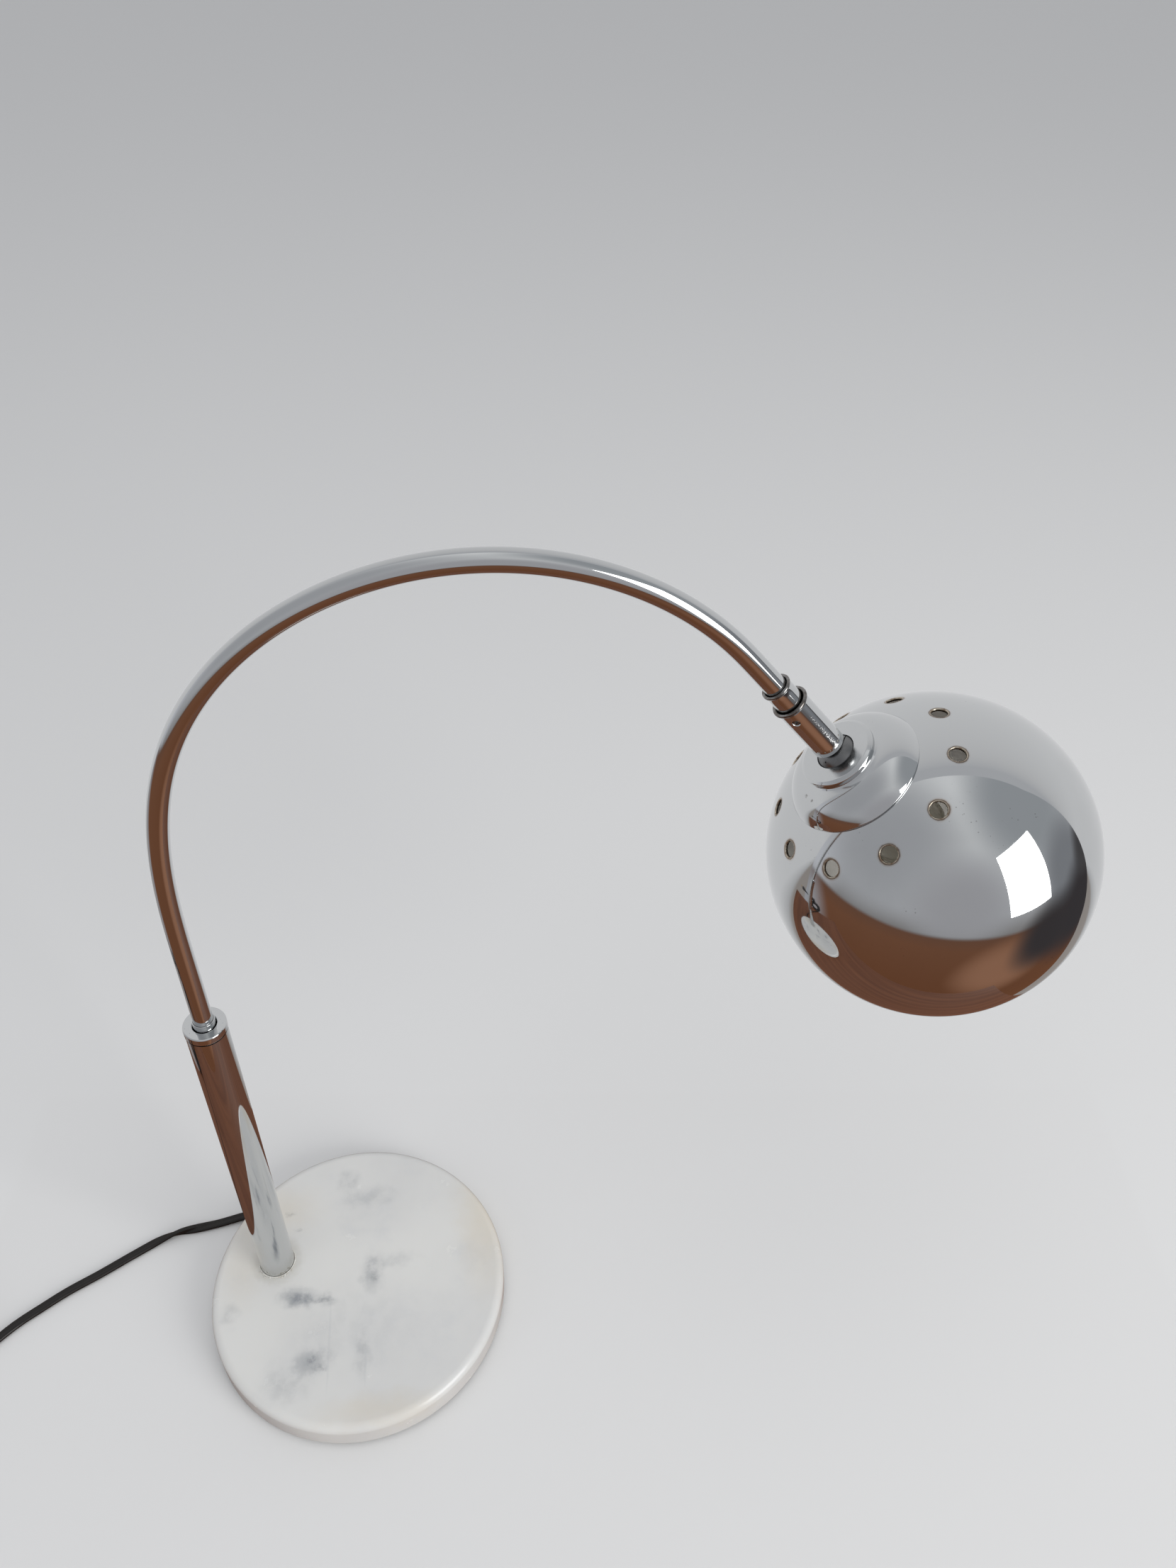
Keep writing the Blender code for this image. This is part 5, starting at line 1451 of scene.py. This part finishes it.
def make_vent_lips():
    """The drawn-in edge of each vent: it rolls from the sphere's skin into the hole."""
    bm = bmesh.new()
    for i in range(VENTS):
        skin = SHADE_RADIUS * cos(asin(VENT_RADIUS / SHADE_RADIUS))
        outline = [(4.2, skin + 0.03), (4.02, skin + 0.02), (3.86, skin - 0.08), (3.74, skin - 0.28), (3.68, skin - 0.6),
                   (3.66, skin - 1.25),
                   (3.8, skin - 1.35), (3.95, skin - 1.2), (4.0, skin - 0.7), (4.2, skin - 0.5)]
        part = revolved(outline, 48)
        bmesh.ops.transform(part, matrix=vent_place(i), verts=part.verts)
        mesh = bpy.data.meshes.new("lip")
        part.to_mesh(mesh)
        part.free()
        bm.from_mesh(mesh)
        bpy.data.meshes.remove(mesh)
    finish_mesh("vent_lips", bm, MAT["vent_rim"], "head", AT_HEAD, sharp=60, slot="chrome")


def rim_material():
    """Worn plate, pale where the lip rolls out of the sphere's skin, and painted shade making it dark down in the hole.
    """
    made = Shader("vent_rim", (0.50, 0.43, 0.33), 1.0, 0.22, AT_HEAD)
    cloud = made.noise(420, 4, 0.65)
    reach = made.node("ShaderNodeVectorMath", operation="DISTANCE")
    made.link(made.coords, reach.inputs[0])
    reach.inputs[1].default_value = (0, 0, SHADE_CENTRE * MM)
    # Painted shade: the lip is coloured near black below the sheet's inner face, down in the hole.
    inside = made.range(reach.outputs["Value"], 0.0762, 0.0765, 1.0, 0.0)
    pale = made.mix(made.range(cloud, 0.4, 0.68), (0.58, 0.52, 0.43), (0.26, 0.18, 0.12))
    made.out(made.mix(inside, pale, (0.05, 0.036, 0.026)), "Base Color")
    made.out(made.range(cloud, 0.3, 0.7, 0.16, 0.55), "Roughness")
    made.bump(cloud, 0.08, 0.0003)
    return made.mat


MAT["vent_rim"] = rim_material()


def make_joint_parts():
    housing = filleted(
        [(10.6, -4.1, 0.2), (12.4, -4.1, 0.3), (12.4, -0.2, 0.2), (15.3, -0.2, 0.3), (15.3, 5.8, 0.3), (12.4, 5.8, 0.2),
         (12.4, 27.0, 0.6),
         (5.4, 27.0, 0.2), (5.4, 24.6, 0.2), (10.6, 24.6, 0.2)], 4)
    turned("ball_housing", housing, MAT["steel"], "head", AT_HEAD, 72, slot="steel", replaces="joint_housing")
    ring = filleted([(12.8, 8.5, 0.2), (19.0, 8.5, 0.5), (19.5, 9.2, 0.3), (19.5, 12.4, 0.6), (12.8, 12.4, 0.4)], 4)
    nut = turned("ring_nut_fine", ring, MAT["steel"], "head", AT_HEAD, 96, slot="steel", replaces="ring_nut")
    for k in range(4):
        notch = block_bm((17.0, -1.3, 8), (21, 1.3, 13))
        cut(nut, notch, AT_HEAD @ Matrix.Rotation(pi / 2 * k, 4, "Z"))


HOLDER = 27.4


def lifted(outline, height):
    return [(r, z + height) for r, z in outline]


def make_holder():
    """Ivory two-part lamp holder with its brass nipple, ceramic insert and threaded sleeve."""

    def fine_thread(r, z, a):
        return r + (0.12 * sin(2 * pi * z - a) if r > 4.6 else 0.0)

    rows = [(3.6, 21.0), (4.8, 21.0)] + [(4.85, 21.2 + 0.2 * k) for k in range(74)] + [(3.6, 36.0)]
    turned(
        "nipple", rows, MAT["brass"], "head", AT_HEAD, 48, sharp=60, ripple=fine_thread, slot="brass",
        replaces="holder_nipple"
    )
    dome = [(5.3, 0, 0.1), (9.0, 0, 1.2), (13.2, 1.3, 3), (16.0, 4.4, 3), (17.2, 8.4, 2), (17.5, 13.6, 0.2),
            (15.9, 13.6, 0.2),
            (15.6, 9.0, 1), (14.6, 5.6, 1), (12.4, 3.0, 1), (8.8, 1.9, 0.5), (5.3, 1.9, 0.1)]
    turned(
        "dome", lifted(filleted(dome, 6), HOLDER), MAT["ivory_plastic"], "head", AT_HEAD, 96, slot="ivory_plastic",
        replaces="holder_dome"
    )

    def ribs(r, z, a):
        grip = HOLDER + 15.5 < z < HOLDER + 30.5 and r > 16.8
        return r - (0.35 * (0.5 - 0.5 * cos(36 * a)) if grip else 0.0)

    wall = [
        (15.2, 0, 0.1), (17.3, 0, 0.2), (17.5, 1.2, 0.2), (17.5, 17.6, 0.3), (18.5, 18.4, 0.4), (18.5, 20.4, 0.4),
        (17.5, 21.0, 0.3), (17.3, 24.6, 0.5), (15.2, 24.6, 0.4)
    ]
    outline = lifted(filleted(wall, 4), HOLDER + 13.9)
    turned(
        "holder_shell", outline, MAT["ivory_plastic"], "head", AT_HEAD, 216, sharp=50, ripple=ribs,
        slot="ivory_plastic", replaces="holder_body"
    )
    insert = lifted(filleted([(0, 0, 0), (14.8, 0, 0.4), (14.8, 5.0, 0.5), (0, 5.0, 0)], 4), HOLDER + 12.6)
    turned("insert", insert, MAT["ceramic"], "head", AT_HEAD, 72, slot="ceramic", replaces="holder_insert")

    def thread(depth, pitch):
        return lambda r, z, a: r + depth * cos(2 * pi * z / pitch - a)

    rows = [(14.2, HOLDER + 18 + 0.35 * k) for k in range(52)] + [(13.75, HOLDER + 36.2 - 0.35 * k) for k in range(52)]
    turned(
        "screw_sleeve", rows, MAT["brass"], "head", AT_HEAD, 72, sharp=60, ripple=thread(0.22, 3.6), slot="brass",
        replaces="thread_sleeve"
    )
    foot = HOLDER + 20
    contact = lifted(filleted([(0, 0, 0), (4.6, 0, 0.8), (8.0, 2.6, 0.3), (0, 2.6, 0)], 4), foot)
    turned("bulb_tip", contact, MAT["brass"], "head", AT_HEAD, 48, slot="brass", replaces="bulb_contact")
    rows = [(0, foot + 2.9), (8.3, foot + 2.9), (11.4, foot + 4.6)] + [(12.72, foot + 5.4 + 0.3 * k) for k in range(54)]
    rows += [(13.0, foot + 22.4), (13.25, foot + 24), (13.4, foot + 26.0), (12.8, foot + 26.0), (12.5, foot + 23)]
    rows += [(12.05, foot + 21.4 - 0.3 * k) for k in range(52)] + [(8.2, foot + 3.7), (0, foot + 3.7)]

    def bulb_thread(r, z, a):
        t = (z - foot - 5.0) / 16.4
        fade = min(1.0, max(0.0, 6 * t)) * min(1.0, max(0.0, 6 * (1 - t)))
        return r + 0.38 * fade * cos(2 * pi * z / 3.6 - a)

    turned(
        "bulb_screw", rows, MAT["steel"], "head", AT_HEAD, 72, sharp=60, ripple=bulb_thread, slot="steel",
        replaces="bulb_cap"
    )


def make_bulb():
    foot = HOLDER + 20
    centre, radius, neck, low = 103.5, 22.5, 12.6, foot + 26.3
    shoulder = Vector((neck, low + 2.0))
    join = radians(-38)
    ball = Vector((radius * cos(join), centre + radius * sin(join)))
    slope = Vector((sin(-join), cos(join)))
    neck_line = []
    for i in range(14):
        t = i / 14
        m0, m1 = Vector((0, 1)) * 14, slope * 14
        h = (
            2 * t**3 - 3 * t**2 + 1
        ) * shoulder + (t**3 - 2 * t**2 + t) * m0 + (-2 * t**3 + 3 * t**2) * ball + (t**3 - t**2) * m1
        neck_line.append((min(h.x, radius), h.y))
    outer = [(neck, low)] + neck_line + arc(0, centre, radius, -38, 90, 44)
    outline = outer + [
        (max(0.0, r - 0.8) if r > 1 else 0.0, z - (0.8 if r < 1 else 0.8 * max(0.0, (z - centre) / radius))) for r,
        z in outer[::-1]
    ]
    outline[len(outer) - 1] = (0.0, centre + radius)
    turned(
        "bulb", outline, MAT["frosted_glass"], "head", AT_HEAD, 96, sharp=50, slot="frosted_glass",
        replaces="bulb_glass"
    )


make_ball()
make_cap()
make_shell()
make_vent_lips()
make_joint_parts()
make_holder()
make_bulb()
